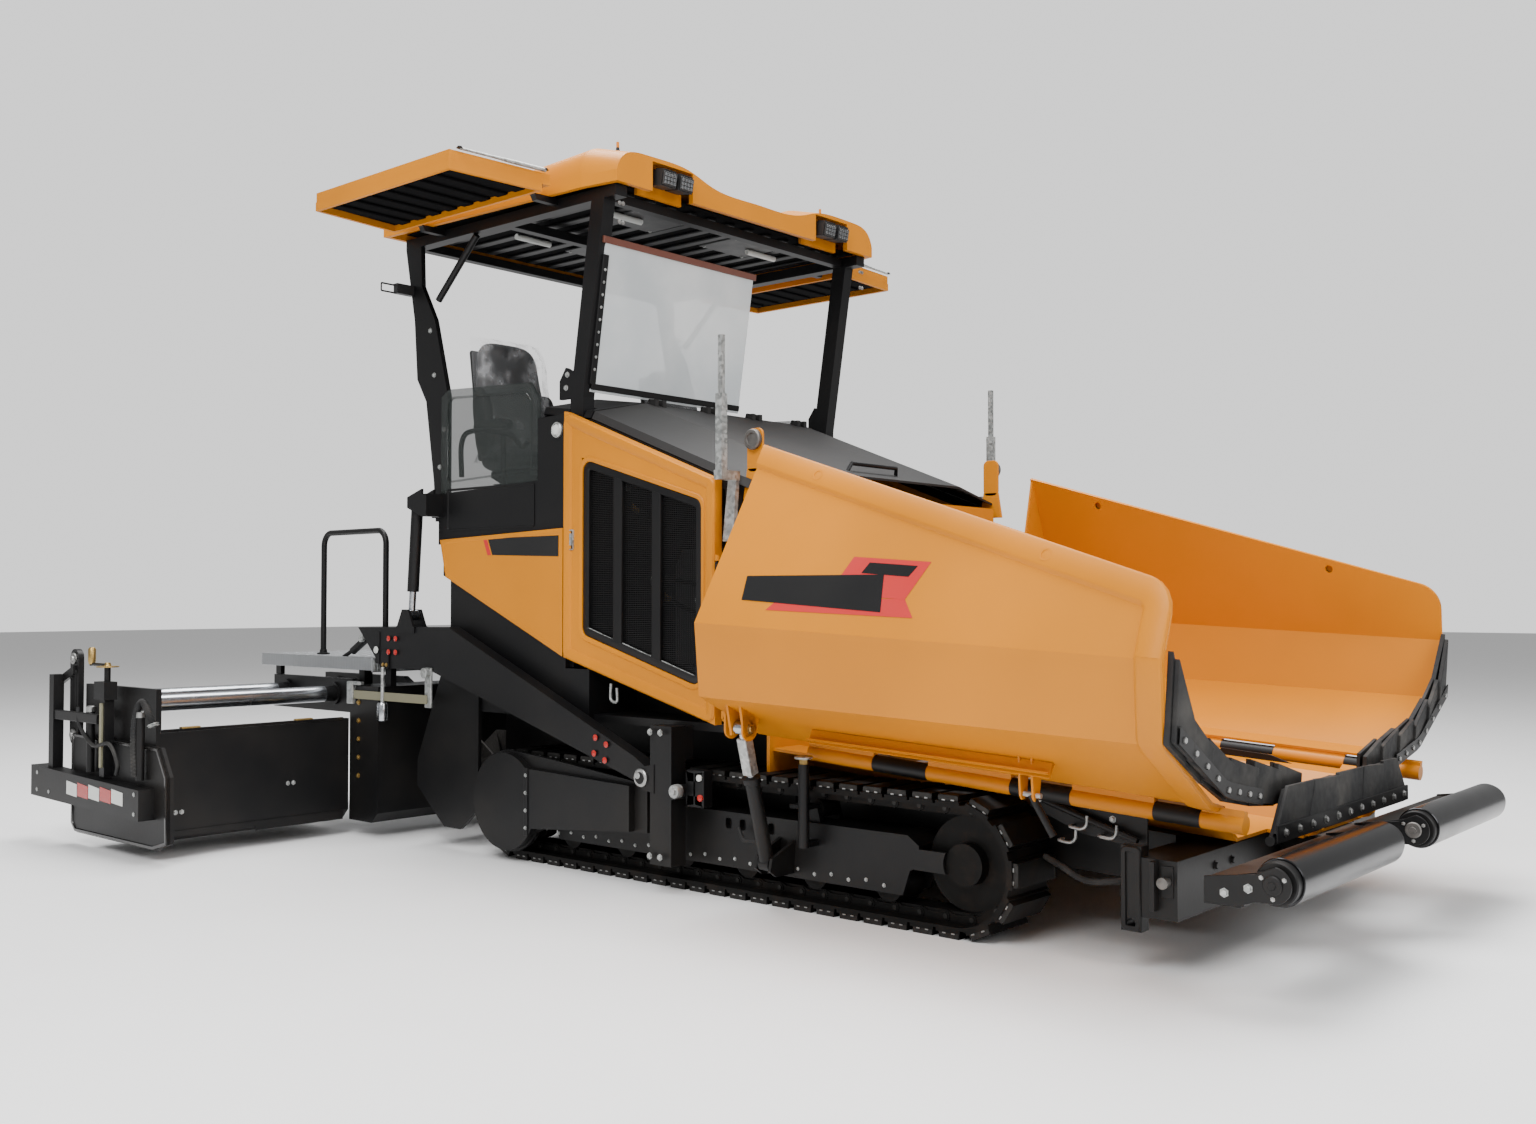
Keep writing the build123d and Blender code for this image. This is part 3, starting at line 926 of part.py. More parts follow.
# ---------------------------------------------------------------- augers
AUGER_X = -1660
AUGER_Z = 420
AUGER_RADIUS = 190
AUGER_SHAFT = 45
AUGER_PITCH = 320
AUGER_INNER = 95
AUGER_OUTER = BODY_HALF - 25
with BuildPart() as auger_case:
    slab([(CHASSIS_REAR - SEAT, 960), (CHASSIS_REAR - SEAT, 640), (AUGER_X - 60, 300), (AUGER_X - 130, 330), (AUGER_X - 130, 520),
          (AUGER_X - 60, 560), (AUGER_X + 40, 960)], (-60, 60))
    block((CHASSIS_REAR - 60, CHASSIS_REAR - SEAT), (-BODY_HALF - 10, BODY_HALF + 10), (1002, 1052))
    slab([(CHASSIS_REAR - 60, 1010), (CHASSIS_REAR - 5, 1010), (CHASSIS_REAR - 5, 900), (CHASSIS_REAR - 60, 900)],
         (-60, 60))
    for hand in HANDS.values():
        slab([(-1140, 1000), (-1140, 240), (-1300, 115), (-1450, 115), (AUGER_X - 50, AUGER_Z - 90),
              (AUGER_X - 50, AUGER_Z + 60), (-1460, 1052), (-1300, 1052)],
             (hand * (BODY_HALF + SEAT), hand * (BODY_HALF + 22)))
finish(auger_case, "auger_case")

for side, hand in HANDS.items():
    with BuildPart() as auger:
        rod((AUGER_X, hand * (60 + SEAT), AUGER_Z), (AUGER_X, hand * (AUGER_OUTER + 25 - SEAT), AUGER_Z), AUGER_SHAFT)
        sectors = 8
        count = int((AUGER_OUTER - AUGER_INNER - 40) / AUGER_PITCH * sectors)
        for i in range(count):
            angle = 2 * math.pi * i / sectors
            y = hand * (AUGER_INNER + 25 + i * AUGER_PITCH / sectors)
            rise = AUGER_PITCH / (2 * math.pi * AUGER_RADIUS)
            outward = (math.cos(angle), 0, math.sin(angle))
            tangent = (-math.sin(angle), hand * rise, math.cos(angle))
            plane = Plane(origin=(AUGER_X, y, AUGER_Z), x_dir=outward, z_dir=Vector(*outward).cross(Vector(*tangent)))
            with BuildSketch(plane) as sector:
                with BuildLine():
                    half = math.tan(math.pi / sectors) * 1.03
                    Polyline((AUGER_SHAFT - 8, -half * AUGER_SHAFT), (AUGER_RADIUS, -half * AUGER_RADIUS),
                             (AUGER_RADIUS, half * AUGER_RADIUS), (AUGER_SHAFT - 8, half * AUGER_SHAFT), close=True)
                make_face()
            extrude(sector.sketch, amount=6, both=True)
    finish(auger, f"auger_{side}")

# ---------------------------------------------------------------- screed
with BuildPart() as tow_arms:
    for hand in HANDS.values():
        face = (hand * ARM_INSIDE, hand * ARM_OUTSIDE)
        slab([(-2190, 1253), (-1300, 1264), (TOW_X - 70, 645), (TOW_X + 35, TOW_Z + 40), (TOW_X + 35, TOW_Z - 35),
              (TOW_X - 70, 527), (-1450, 1010), (-1945, 1015)], face)
        rod((TOW_X, hand * (ARM_INSIDE - 60), TOW_Z), (TOW_X, hand * (ARM_OUTSIDE + 60), TOW_Z), TOW_PIN, Mode.SUBTRACT)
        pin_x, pin_y, pin_z = LIFT_PIN_LOW
        for y in (pin_y - 49, pin_y + 35):
            slab([(pin_x - 90, 1240), (pin_x - 30, pin_z + 32), (pin_x + 30, pin_z + 32), (pin_x + 90, 1240)],
                 (hand * y, hand * (y + 14)))
        block((pin_x - 90, pin_x + 90), (hand * (pin_y - 49), hand * (pin_y + 49)), (1225, 1262))
        rod((pin_x, hand * (pin_y - 45), pin_z), (pin_x, hand * (pin_y + 45), pin_z), LIFT_EYE_PIN)
finish(tow_arms, "tow_arms")

with BuildPart() as screed_main:
    slab([(SCREED_FRONT, SOLE_Z + 60), (SCREED_FRONT, 900), (SCREED_BACK, 900), (SCREED_BACK, SOLE_Z),
          (SCREED_FRONT - 60, SOLE_Z)], (-SCREED_HALF, SCREED_HALF))
    for hand in HANDS.values():
        slab([(-2020, 880), (SCREED_FRONT - 5, 880), (SCREED_FRONT - 5, 1200), (-2020, 1225)],
             (hand * (ARM_INSIDE - 40), hand * (ARM_INSIDE - SEAT)))
        for y in CARRIER_Y:
            slab([(SCREED_BACK + 5, 890), (SCREED_BACK + 5, 730), (-3180, 730), (-3180, 935), (SCREED_BACK - 45, 935),
                  (SCREED_BACK + 60, 880)],
                 (hand * y, hand * (y + CARRIER_PLATE)))
            for x in (-2470, -3020):
                rod((x, hand * (y + CARRIER_PLATE - 5), TUBE_Z), (x, hand * (y + CARRIER_PLATE + 16), TUBE_Z),
                    TUBE_RADIUS + 20)
    for hand in HANDS.values():
        for x in (-2470, -3020):
            rod((x, hand * (CARRIER_Y[0] - 20), TUBE_Z), (x, hand * (SCREED_HALF + 10), TUBE_Z), TUBE_RADIUS + RUN,
                Mode.SUBTRACT)
finish(screed_main, "screed_main")

hoop_y = SCREED_HALF - 150
with BuildPart() as screed_walkway:
    block((-3270, -2030), (-SCREED_HALF, SCREED_HALF), (1040, 1070))
    for hand in HANDS.values():
        block((-2300, -2240), (hand * (SCREED_HALF - 150), hand * (SCREED_HALF - 90)), (900 + SEAT, 1045))
        block((-3170, -3110), (hand * (SCREED_HALF - 70), hand * (SCREED_HALF - 40)), (935 + SEAT, 1045))
        for x in (-2790, -2110):
            rod((x, hand * hoop_y, 1065), (x, hand * hoop_y, 1830), 18)
        rod((-2790, hand * hoop_y, 1845), (-2110, hand * hoop_y, 1845), 18)
finish(screed_walkway, "screed_walkway")

for side, hand in HANDS.items():
    inner = EXTENSION_OUTER - STROKE - 20
    with BuildPart() as screed_extension:
        slab([(EXTENSION_FRONT, SOLE_Z + 60), (EXTENSION_FRONT, EXTENSION_TOP), (EXTENSION_FRONT - 40, EXTENSION_TOP),
              (EXTENSION_FRONT - 40, SOLE_Z + 260), (EXTENSION_BACK, SOLE_Z + 200), (EXTENSION_BACK, SOLE_Z),
              (EXTENSION_FRONT - 60, SOLE_Z)], (hand * inner, hand * EXTENSION_OUTER))
        slab([(EXTENSION_FRONT, SOLE_Z + 100), (EXTENSION_FRONT, 930), (-3120, 930), (-3120, 600),
              (EXTENSION_BACK, SOLE_Z + 150)], (hand * (EXTENSION_OUTER - 30), hand * EXTENSION_OUTER))
        for x in (-2470, -3020):
            rod((x, hand * (STROKE + 5), TUBE_Z), (x, hand * (EXTENSION_OUTER - 10), TUBE_Z), TUBE_RADIUS)
    finish(screed_extension, f"screed_extension_{side}")
    with BuildPart() as end_gate:
        gate = (hand * (EXTENSION_OUTER + SEAT), hand * (EXTENSION_OUTER + 40))
        slab([(-2160, 620), (-2060, 470), (-2050, 115), (-2200, 75), (-3150, 75), (-3200, 120), (-3200, 640)], gate)
        slab([(-2190, 400), (-2190, 235), (REAR_REACH, 262), (REAR_REACH, 440)],
             (hand * (EXTENSION_OUTER + 35), hand * (EXTENSION_OUTER + 130)))
        slab([(-2120, 110), (-2175, 68), (-3150, 68), (-3195, 110)],
             (hand * (EXTENSION_OUTER + 8), hand * (EXTENSION_OUTER + 32)))
        jack = (hand * (EXTENSION_OUTER + 38), hand * (EXTENSION_OUTER + 92))
        block((-2735, -2680), jack, (430, 905))
        block((-2770, -2645), (jack[0], hand * (EXTENSION_OUTER + 112)), (860, 960))
        rod((-2708, hand * (EXTENSION_OUTER + 65), 950), (-2708, hand * (EXTENSION_OUTER + 65), 1060), 17)
        rod((-2708, hand * (EXTENSION_OUTER + 65), 1052), (-2905, hand * (EXTENSION_OUTER + 65), 1052), 9)
        rod((-2905, hand * (EXTENSION_OUTER + 65), 1043), (-2905, hand * (EXTENSION_OUTER + 65), 1140), 12)
        block((-3370, -3310), (hand * (EXTENSION_OUTER + 45), hand * (EXTENSION_OUTER + 105)), (400, 980))
        slab([(-3390, 905), (-3180, 985), (-3180, 1035), (-3390, 955)],
             (hand * (EXTENSION_OUTER + 30), hand * (EXTENSION_OUTER + 50)))
        with BuildSketch(Plane.XZ.offset(-hand * (EXTENSION_OUTER + 16))) as oblong:
            with Locations((-3205, 850)):
                SlotOverall(560, 110, rotation=90)
        extrude(oblong.sketch, amount=16, both=True)
    finish(end_gate, f"end_gate_{side}")
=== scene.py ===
# %% [markdown]
# # A tracked asphalt paver
# The machine's solids come from a CAD model, already in place and able to move.
# This lesson dresses them: it gives every solid a finish and adds what is too fine for the solids,
# such as bolts, mesh, rubber strips, lamps and hoses.

# %% Load the solids
import json
import math

import bmesh
import bpy
import numpy as np
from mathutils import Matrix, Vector


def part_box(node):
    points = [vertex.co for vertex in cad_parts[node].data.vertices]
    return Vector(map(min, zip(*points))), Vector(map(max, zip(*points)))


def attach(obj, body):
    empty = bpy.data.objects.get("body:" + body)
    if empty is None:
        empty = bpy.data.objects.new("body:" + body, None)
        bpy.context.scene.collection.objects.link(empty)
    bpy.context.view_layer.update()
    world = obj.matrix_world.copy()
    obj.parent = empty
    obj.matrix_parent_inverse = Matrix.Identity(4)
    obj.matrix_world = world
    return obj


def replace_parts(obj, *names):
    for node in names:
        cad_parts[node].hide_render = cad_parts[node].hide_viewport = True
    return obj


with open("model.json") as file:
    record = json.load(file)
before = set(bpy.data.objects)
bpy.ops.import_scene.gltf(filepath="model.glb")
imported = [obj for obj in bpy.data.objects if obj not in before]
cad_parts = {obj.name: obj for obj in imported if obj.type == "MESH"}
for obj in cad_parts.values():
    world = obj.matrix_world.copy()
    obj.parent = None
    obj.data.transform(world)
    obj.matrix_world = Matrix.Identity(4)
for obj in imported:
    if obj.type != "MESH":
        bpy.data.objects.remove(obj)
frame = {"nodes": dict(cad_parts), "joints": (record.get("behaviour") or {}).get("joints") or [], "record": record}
NODES = frame["nodes"]
JOINTS = {joint["name"]: joint for joint in frame["joints"]}
SIDES = {"left": 1.0, "right": -1.0}
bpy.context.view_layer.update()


def corners(node):
    """A solid's lowest and highest corner, as arrays."""
    low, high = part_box(node)
    return np.array(low), np.array(high)


# %% [markdown]
# ## Shader sums
# A finish is mostly arithmetic: a pattern times a strength, plus a base value.
# Building that by hand takes a line for each node and each link. Here a small class wraps a socket,
# so that an expression such as `0.3 + 0.1 * grain` adds its own Math nodes.

# %% A socket that can be used in sums
class Signal:
    """An output socket. Arithmetic on it adds the Math nodes that it needs."""

    def __init__(self, finish, socket):
        self.finish = finish
        self.socket = socket

    def math(self, operation, first, second=0.0):
        return self.finish.node("ShaderNodeMath", {"operation": operation}, {0: first, 1: second})

    def __add__(self, other):
        return self.math("ADD", self, other)

    def __sub__(self, other):
        return self.math("SUBTRACT", self, other)

    def __rsub__(self, other):
        return self.math("SUBTRACT", other, self)

    def __mul__(self, other):
        return self.math("MULTIPLY", self, other)

    def __gt__(self, other):
        return self.math("GREATER_THAN", self, other)

    def __lt__(self, other):
        return self.math("LESS_THAN", self, other)

    __radd__ = __add__
    __rmul__ = __mul__

    def wave(self):
        """The sine of the value."""
        return self.math("SINE", self)

    def size(self):
        """The value without its sign."""
        return self.math("ABSOLUTE", self)


# %% [markdown]
# ## Finishes
# Every finish starts from one Principled shader. Patterns are read at Object coordinates, which are
# metres here because every mesh keeps its place in the machine, so a noise scale of 100 has grains of 10 mm.

# %% A finish and its nodes
class Finish:
    """A material under construction, with the record's slot that it belongs to."""

    def __init__(self, name, slot, color, roughness, metallic=0.0, **constants):
        self.slot = slot
        self.material = bpy.data.materials.new(name)
        self.material.use_nodes = True
        self.tree = self.material.node_tree
        self.shader = self.tree.nodes["Principled BSDF"]
        self.color = (*color, 1.0)
        self.shader.inputs["Base Color"].default_value = self.color
        self.shader.inputs["Roughness"].default_value = roughness
        self.shader.inputs["Metallic"].default_value = metallic
        for socket, value in constants.items():
            self.shader.inputs[socket.replace("_", " ")].default_value = value
        self.place = self.node("ShaderNodeTexCoord", {}, {}, "Object")

    def node(self, kind, settings, sockets, out=0):
        """Any node: its settings first, then values or links for its sockets."""
        node = self.tree.nodes.new(kind)
        for key, value in settings.items():
            setattr(node, key, value)
        for key, value in sockets.items():
            if isinstance(value, Signal):
                self.tree.links.new(value.socket, node.inputs[key])
            else:
                node.inputs[key].default_value = value
        return Signal(self, node.outputs[out])

    def feed(self, **signals):
        for socket, signal in signals.items():
            self.tree.links.new(signal.socket, self.shader.inputs[socket.replace("_", " ")])
        return self

    def stretched(self, factors):
        """Object coordinates, squeezed by a factor along each axis."""
        return self.node("ShaderNodeMapping", {}, {"Vector": self.place, "Scale": factors})

    def noise(self, scale, detail=3.0, place=None):
        return self.node("ShaderNodeTexNoise", {},
                         {"Vector": place or self.place, "Scale": scale, "Detail": detail})

    def ramp(self, signal, low, high):
        """0 below low, 1 above high and a soft step between."""
        return self.node("ShaderNodeMapRange", {"interpolation_type": "SMOOTHSTEP"},
                         {"Value": signal, "From Min": low, "From Max": high})

    def mix(self, factor, first, second):
        """From the first colour at 0 to the second at 1."""
        return self.node("ShaderNodeMix", {"data_type": "RGBA"}, {0: factor, 6: first, 7: second}, 2)

    def axis(self, letter):
        return self.node("ShaderNodeSeparateXYZ", {}, {0: self.place}, letter)

    def bump(self, height, strength=0.3, distance=0.002):
        return self.feed(Normal=self.node("ShaderNodeBump", {}, {"Height": height, "Strength": strength,
                                                                 "Distance": distance}))


# %% [markdown]
# ### Paint
# New machine paint is smooth but not a mirror: it has a faint orange peel and a haze of road dust that
# gathers low down. The dust is a noise, cut off above the tracks by a soft step on the height.

# %% Yellow and black paint
DUST = (0.26, 0.21, 0.16, 1.0)


def paint(name, slot, color, roughness, dust=0.2, peel=0.05, coat=0.2, shine=0.5):
    finish = Finish(name, slot, color, roughness, Coat_Weight=coat, Coat_Roughness=0.15,
                    Specular_IOR_Level=shine)
    cloud = finish.noise(2.3, 4.0)
    grain = finish.noise(260.0, 2.0)
    low_down = 1.0 - finish.ramp(finish.axis("Z"), 0.15, 1.3)
    dusty = finish.ramp(cloud, 0.35, 0.75) * (0.25 + 0.75 * low_down) * dust
    shade = tuple(channel * 0.86 for channel in color) + (1.0,)
    tone = finish.mix(finish.ramp(finish.noise(0.9), 0.35, 0.7), finish.color, shade)
    finish.feed(Base_Color=finish.mix(dusty, tone, DUST), Roughness=roughness + 0.12 * cloud + 0.5 * dusty)
    return finish.bump(grain + 3.0 * finish.noise(45.0, 1.0), peel, 0.0008)


YELLOW = paint("yellow_enamel", "yellow_paint", (0.60, 0.205, 0.001), 0.36, dust=0.02, coat=0.03, shine=0.25)
BLACK = paint("black_enamel", "black_paint", (0.0045, 0.0045, 0.005), 0.38, dust=0.03, peel=0.10, coat=0.0,
              shine=0.28)
GLOSS = paint("gloss_black", "black_paint", (0.006, 0.006, 0.0065), 0.14, dust=0.05)
COWL = paint("cowl_enamel", "black_paint", (0.014, 0.0135, 0.0135), 0.5, dust=0.06, peel=0.12, coat=0.0,
             shine=0.3)
MAROON = paint("maroon_strip", "black_paint", (0.12, 0.035, 0.02), 0.4)
LINING = paint("roof_lining", "black_paint", (0.004, 0.004, 0.0045), 0.9, dust=0.0, coat=0.0, shine=0.06)
RED = paint("red_paint", "yellow_paint", (0.55, 0.012, 0.012), 0.35)
ENGINE = paint("engine_paint", "engine_iron", (0.05, 0.05, 0.052), 0.45, dust=0.5)
OLIVE = paint("olive_paint", "black_paint", (0.20, 0.19, 0.12), 0.5)

# %% [markdown]
# ### Iron, steel and aluminium
# Castings are dull and uneven, bright steel keeps fine marks along the way it was ground, and zinc
# freezes into flat crystals. Each is a different pattern on the same shader.

# %% Metals
def iron(name, slot, color, roughness, rust=0.25):
    finish = Finish(name, slot, color, roughness, 0.6)
    cloud = finish.noise(9.0, 5.0)
    stained = finish.ramp(cloud, 0.48, 0.72) * rust
    finish.feed(Base_Color=finish.mix(stained, finish.color, (0.10, 0.055, 0.03, 1.0)),
                Roughness=roughness + 0.25 * cloud, Metallic=0.75 - 0.6 * stained)
    return finish.bump(finish.noise(120.0, 4.0), 0.25, 0.0015)


def ground_steel(name, slot, color, roughness, along, marks=0.1):
    finish = Finish(name, slot, color, roughness, 1.0)
    lines = finish.noise(40.0, 3.0, finish.stretched(along))
    smudge = finish.noise(6.0, 3.0)
    tone = tuple(channel * 0.75 for channel in color) + (1.0,)
    finish.feed(Base_Color=finish.mix(finish.ramp(lines, 0.3, 0.7), finish.color, tone),
                Roughness=roughness + marks * lines + 0.12 * smudge)
    return finish.bump(lines, 0.08, 0.0005)


TRACK = iron("track_casting", "track_steel", (0.009, 0.0085, 0.008), 0.45, rust=0.10)
WORN = ground_steel("worn_steel", "worn_steel", (0.20, 0.19, 0.18), 0.42, (1, 12, 1))
BRIGHT = ground_steel("bright_steel", "polished_steel", (0.55, 0.57, 0.60), 0.18, (2, 0.1, 2), 0.02)
ROLLER = ground_steel("roller_steel", "polished_steel", (0.040, 0.040, 0.042), 0.14, (1, 18, 1), 0.05)
# Lighter ground steel for the pin heads and the shoes' end faces. On the shoe ends it is partly wear and partly a
# painted highlight for the light on the bevelled edges.
EDGE = ground_steel("worn_edge_and_painted_highlight", "track_steel", (0.05, 0.048, 0.046), 0.4, (1, 12, 1))
TREAD_DARK = iron("worn_deck", "black_paint", (0.055, 0.053, 0.050), 0.45, rust=0.3)
BOLT = ground_steel("bolt_zinc", "polished_steel", (0.42, 0.42, 0.41), 0.3, (1, 1, 1))
BRASS = ground_steel("yellow_zinc", "polished_steel", (0.50, 0.34, 0.12), 0.32, (1, 1, 1))

ZINC = Finish("galvanised", "galvanised_steel", (0.42, 0.43, 0.42), 0.45, 0.85)
crystal = ZINC.node("ShaderNodeTexVoronoi", {}, {"Vector": ZINC.place, "Scale": 70.0}, "Color")
flake = ZINC.node("ShaderNodeSeparateXYZ", {}, {0: crystal}, "X")
ZINC.feed(Base_Color=ZINC.mix(flake, (0.30, 0.31, 0.30, 1.0), (0.52, 0.53, 0.52, 1.0)),
          Roughness=0.35 + 0.25 * flake)

TREAD = Finish("tread_plate", "aluminium_plate", (0.36, 0.37, 0.38), 0.35, 0.9)
lengthways = (TREAD.axis("X") * 110.0 + TREAD.axis("Y") * 110.0).wave()
crossways = (TREAD.axis("X") * 110.0 - TREAD.axis("Y") * 110.0).wave()
TREAD.feed(Roughness=0.3 + 0.25 * TREAD.noise(15.0))
TREAD.bump(TREAD.ramp(lengthways * crossways, 0.2, 0.6), 0.6, 0.002)

# %% [markdown]
# ### Rubber, plastic and glass
# Rubber is nearly black and never shiny. The seats are still in the bag that they came in, so the film
# over them is clear, glossy and creased. The windscreen has a milky film too.

# %% Soft and clear finishes
RUBBER = Finish("rubber_sheet", "rubber", (0.009, 0.009, 0.0095), 0.6, Specular_IOR_Level=0.3)
RUBBER.feed(Base_Color=RUBBER.mix(RUBBER.ramp(RUBBER.noise(5.0, 5.0), 0.4, 0.75), (0.012, 0.012, 0.0125, 1.0),
                                  (0.045, 0.042, 0.038, 1.0)), Roughness=0.5 + 0.3 * RUBBER.noise(30.0))
RUBBER.bump(RUBBER.noise(300.0), 0.2, 0.0006)

PLASTIC = Finish("black_plastic", "black_plastic", (0.013, 0.013, 0.0135), 0.45)
PLASTIC.feed(Roughness=0.38 + 0.2 * PLASTIC.noise(12.0))
PLASTIC.bump(PLASTIC.noise(420.0, 2.0), 0.25, 0.0006)

VINYL = Finish("seat_vinyl", "seat_cover", (0.018, 0.018, 0.019), 0.5)
VINYL.feed(Roughness=0.42 + 0.25 * VINYL.noise(25.0))
VINYL.bump(VINYL.noise(500.0, 2.0) + VINYL.noise(30.0), 0.3, 0.0008)

FILM = Finish("clear_bag", "clear_glass", (0.75, 0.76, 0.78), 0.12, Alpha=0.22)
FILM.feed(Alpha=0.10 + 0.3 * FILM.ramp(FILM.noise(9.0, 6.0), 0.45, 0.7))
FILM.bump(FILM.noise(14.0, 6.0), 0.9, 0.012)

SCREEN = Finish("milky_screen", "clear_glass", (0.62, 0.65, 0.66), 0.12)
SCREEN.feed(Base_Color=SCREEN.mix(SCREEN.ramp(SCREEN.noise(1.6, 4.0), 0.35, 0.7), (0.60, 0.64, 0.66, 1.0),
                                  (0.78, 0.80, 0.80, 1.0)), Alpha=0.58 + 0.2 * SCREEN.noise(1.1, 3.0))

TINT = Finish("tinted_glass", "clear_glass", (0.03, 0.035, 0.033), 0.06, Alpha=0.52)
TINT.feed(Roughness=0.04 + 0.08 * TINT.noise(8.0))

LENS = Finish("lamp_lens", "clear_glass", (0.16, 0.165, 0.17), 0.15, 0.6)
LENS.feed(Roughness=0.12 + 0.2 * LENS.noise(60.0))
RED_GLASS = Finish("red_reflector", "clear_glass", (0.42, 0.02, 0.015), 0.15)
RED_GLASS.bump(RED_GLASS.noise(220.0, 1.0), 0.5, 0.002)
WHITE_GLASS = Finish("white_reflector", "clear_glass", (0.62, 0.63, 0.60), 0.2)
WHITE_GLASS.bump(WHITE_GLASS.noise(220.0, 1.0), 0.5, 0.002)

# %% Finishes on the solids
FINISH_OF_SLOT = {"yellow_paint": YELLOW, "black_paint": BLACK, "track_steel": TRACK, "engine_iron": ENGINE,
                  "clear_glass": TINT, "black_plastic": PLASTIC, "seat_cover": VINYL,
                  "galvanised_steel": ZINC,
                  "worn_steel": WORN, "polished_steel": BRIGHT, "rubber": RUBBER, "aluminium_plate": TREAD}
OWN_FINISH = {"hood": COWL, "windscreen": SCREEN, "push_roller_left": ROLLER, "push_roller_right": ROLLER}


def coat(piece, finish):
    """Gives a piece one finish in every material slot."""
    piece.data.materials.clear()
    piece.data.materials.append(finish.material)


for part in frame["record"]["subparts"]:
    coat(NODES[part["node"]], OWN_FINISH.get(part["node"], FINISH_OF_SLOT[part["material_slot"]]))

# %% [markdown]
# ## Making pieces
# New pieces are worked out as arrays of points. A `Place` is a spot on the machine with its own axes, so a
# shape is drawn flat and lands on a slope. `make` turns points and faces into an object that rides on a body.

# %% Places and meshes
class Place:
    """A spot with three axes of its own: u and v across it, w out of it."""

    def __init__(self, origin, u, v, w=None):
        self.origin = np.array(origin, float)
        self.u = np.array(u, float) / np.linalg.norm(u)
        self.v = np.array(v, float) / np.linalg.norm(v)
        self.w = np.cross(self.u, self.v) if w is None else np.array(w, float)

    def __call__(self, u, v, w=0.0):
        """The points at u, v and w, which are numbers or arrays of one shape."""
        u, v, w = np.broadcast_arrays(u, v, w)
        return self.origin + u[..., None] * self.u + v[..., None] * self.v + w[..., None] * self.w

    def at(self, u, v, w=0.0):
        """The same axes at another spot."""
        return Place(self(u, v, w), self.u, self.v, self.w)


def side_place(hand, y):
    """A place on the machine's side: u forwards, v up and w outwards, on either side."""
    return Place((0, hand * y, 0), (1, 0, 0), (0, 0, 1), (0, hand, 0))


def make(name, points, faces, finish, body, smooth=None, bevel=0.0, closed=True):
    """An object from points (N, 3) and a list of face arrays, each with one row of corners for a face."""
    mesh = bpy.data.meshes.new(name)
    rows = [row for group in faces for row in np.asarray(group).tolist()]
    mesh.from_pydata(np.asarray(points).reshape(-1, 3).tolist(), [], rows)
    if closed:
        shell = bmesh.new()
        shell.from_mesh(mesh)
        bmesh.ops.recalc_face_normals(shell, faces=shell.faces)
        shell.to_mesh(mesh)
        shell.free()
    if smooth:
        mesh.shade_smooth()
        mesh.set_sharp_from_angle(angle=math.radians(smooth))
    piece = bpy.data.objects.new(name, mesh)
    bpy.context.scene.collection.objects.link(piece)
    coat(piece, finish)
    if bevel:
        rounding = piece.modifiers.new("edges", "BEVEL")
        rounding.width = bevel
        rounding.segments = 2
        rounding.limit_method = "ANGLE"
    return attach(piece, body)


def grid_faces(rows, columns, wrap=False):
    """Quads between the points of a grid; wrap joins the last column to the first."""
    index = np.arange(rows * columns).reshape(rows, columns)
    across = np.roll(index, -1, 1) if wrap else index[:, 1:]
    here = index if wrap else index[:, :-1]
    return np.stack([here[:-1], across[:-1], across[1:], here[1:]], -1).reshape(-1, 4)


def plate(name, outline, depth, place, finish, body, bevel=0.0, smooth=None):
    """A flat piece: an outline of (u, v) points between two heights above its place."""
    outline = np.array(outline, float)
    count = len(outline)
    points = np.concatenate([place(outline[:, 0], outline[:, 1], w) for w in depth])
    ring = np.arange(count)
    after = np.roll(ring, -1)
    walls = np.stack([ring, after, after + count, ring + count], -1)
    return make(name, points, [walls, [ring[::-1]], [ring + count]], finish, body, smooth, bevel)


CUBE = np.array([(x, y, z) for z in (0, 1) for y in (0, 1) for x in (0, 1)], float)
CUBE_FACES = np.array([(0, 2, 3, 1), (4, 5, 7, 6), (0, 1, 5, 4), (2, 6, 7, 3), (0, 4, 6, 2), (1, 3, 7, 5)])


def repeated(points, faces, count):
    """Face rows for a shape with the given points, repeated count times."""
    return (faces[None] + (np.arange(count) * points)[:, None, None]).reshape(-1, faces.shape[1])


def bars(name, lows, highs, finish, body, place=None, bevel=0.0):
    """Square bars between pairs of corners, all in one mesh."""
    place = place or Place((0, 0, 0), (1, 0, 0), (0, 1, 0))
    lows = np.atleast_2d(np.array(lows, float))
    highs = np.atleast_2d(np.array(highs, float))
    spots = lows[:, None] + CUBE[None] * (highs - lows)[:, None]
    points = place(spots[..., 0], spots[..., 1], spots[..., 2])
    return make(name, points, [repeated(8, CUBE_FACES, len(lows))], finish, body, bevel=bevel)


def smooth_path(stops, count):
    """A rounded path through stops: a Catmull-Rom curve, sampled evenly in its parameter."""
    stops = np.array(stops, float)
    padded = np.concatenate([2 * stops[:1] - stops[1:2], stops, 2 * stops[-1:] - stops[-2:-1]])
    run = np.linspace(0, len(stops) - 1 - 1e-9, count)
    start = run.astype(int)
    t = (run - start)[:, None]
    a, b, c, d = (padded[start + i] for i in range(4))
    return 0.5 * (2 * b + (c - a) * t + (2 * a - 5 * b + 4 * c - d) * t ** 2
                  + (3 * b - a - 3 * c + d) * t ** 3)


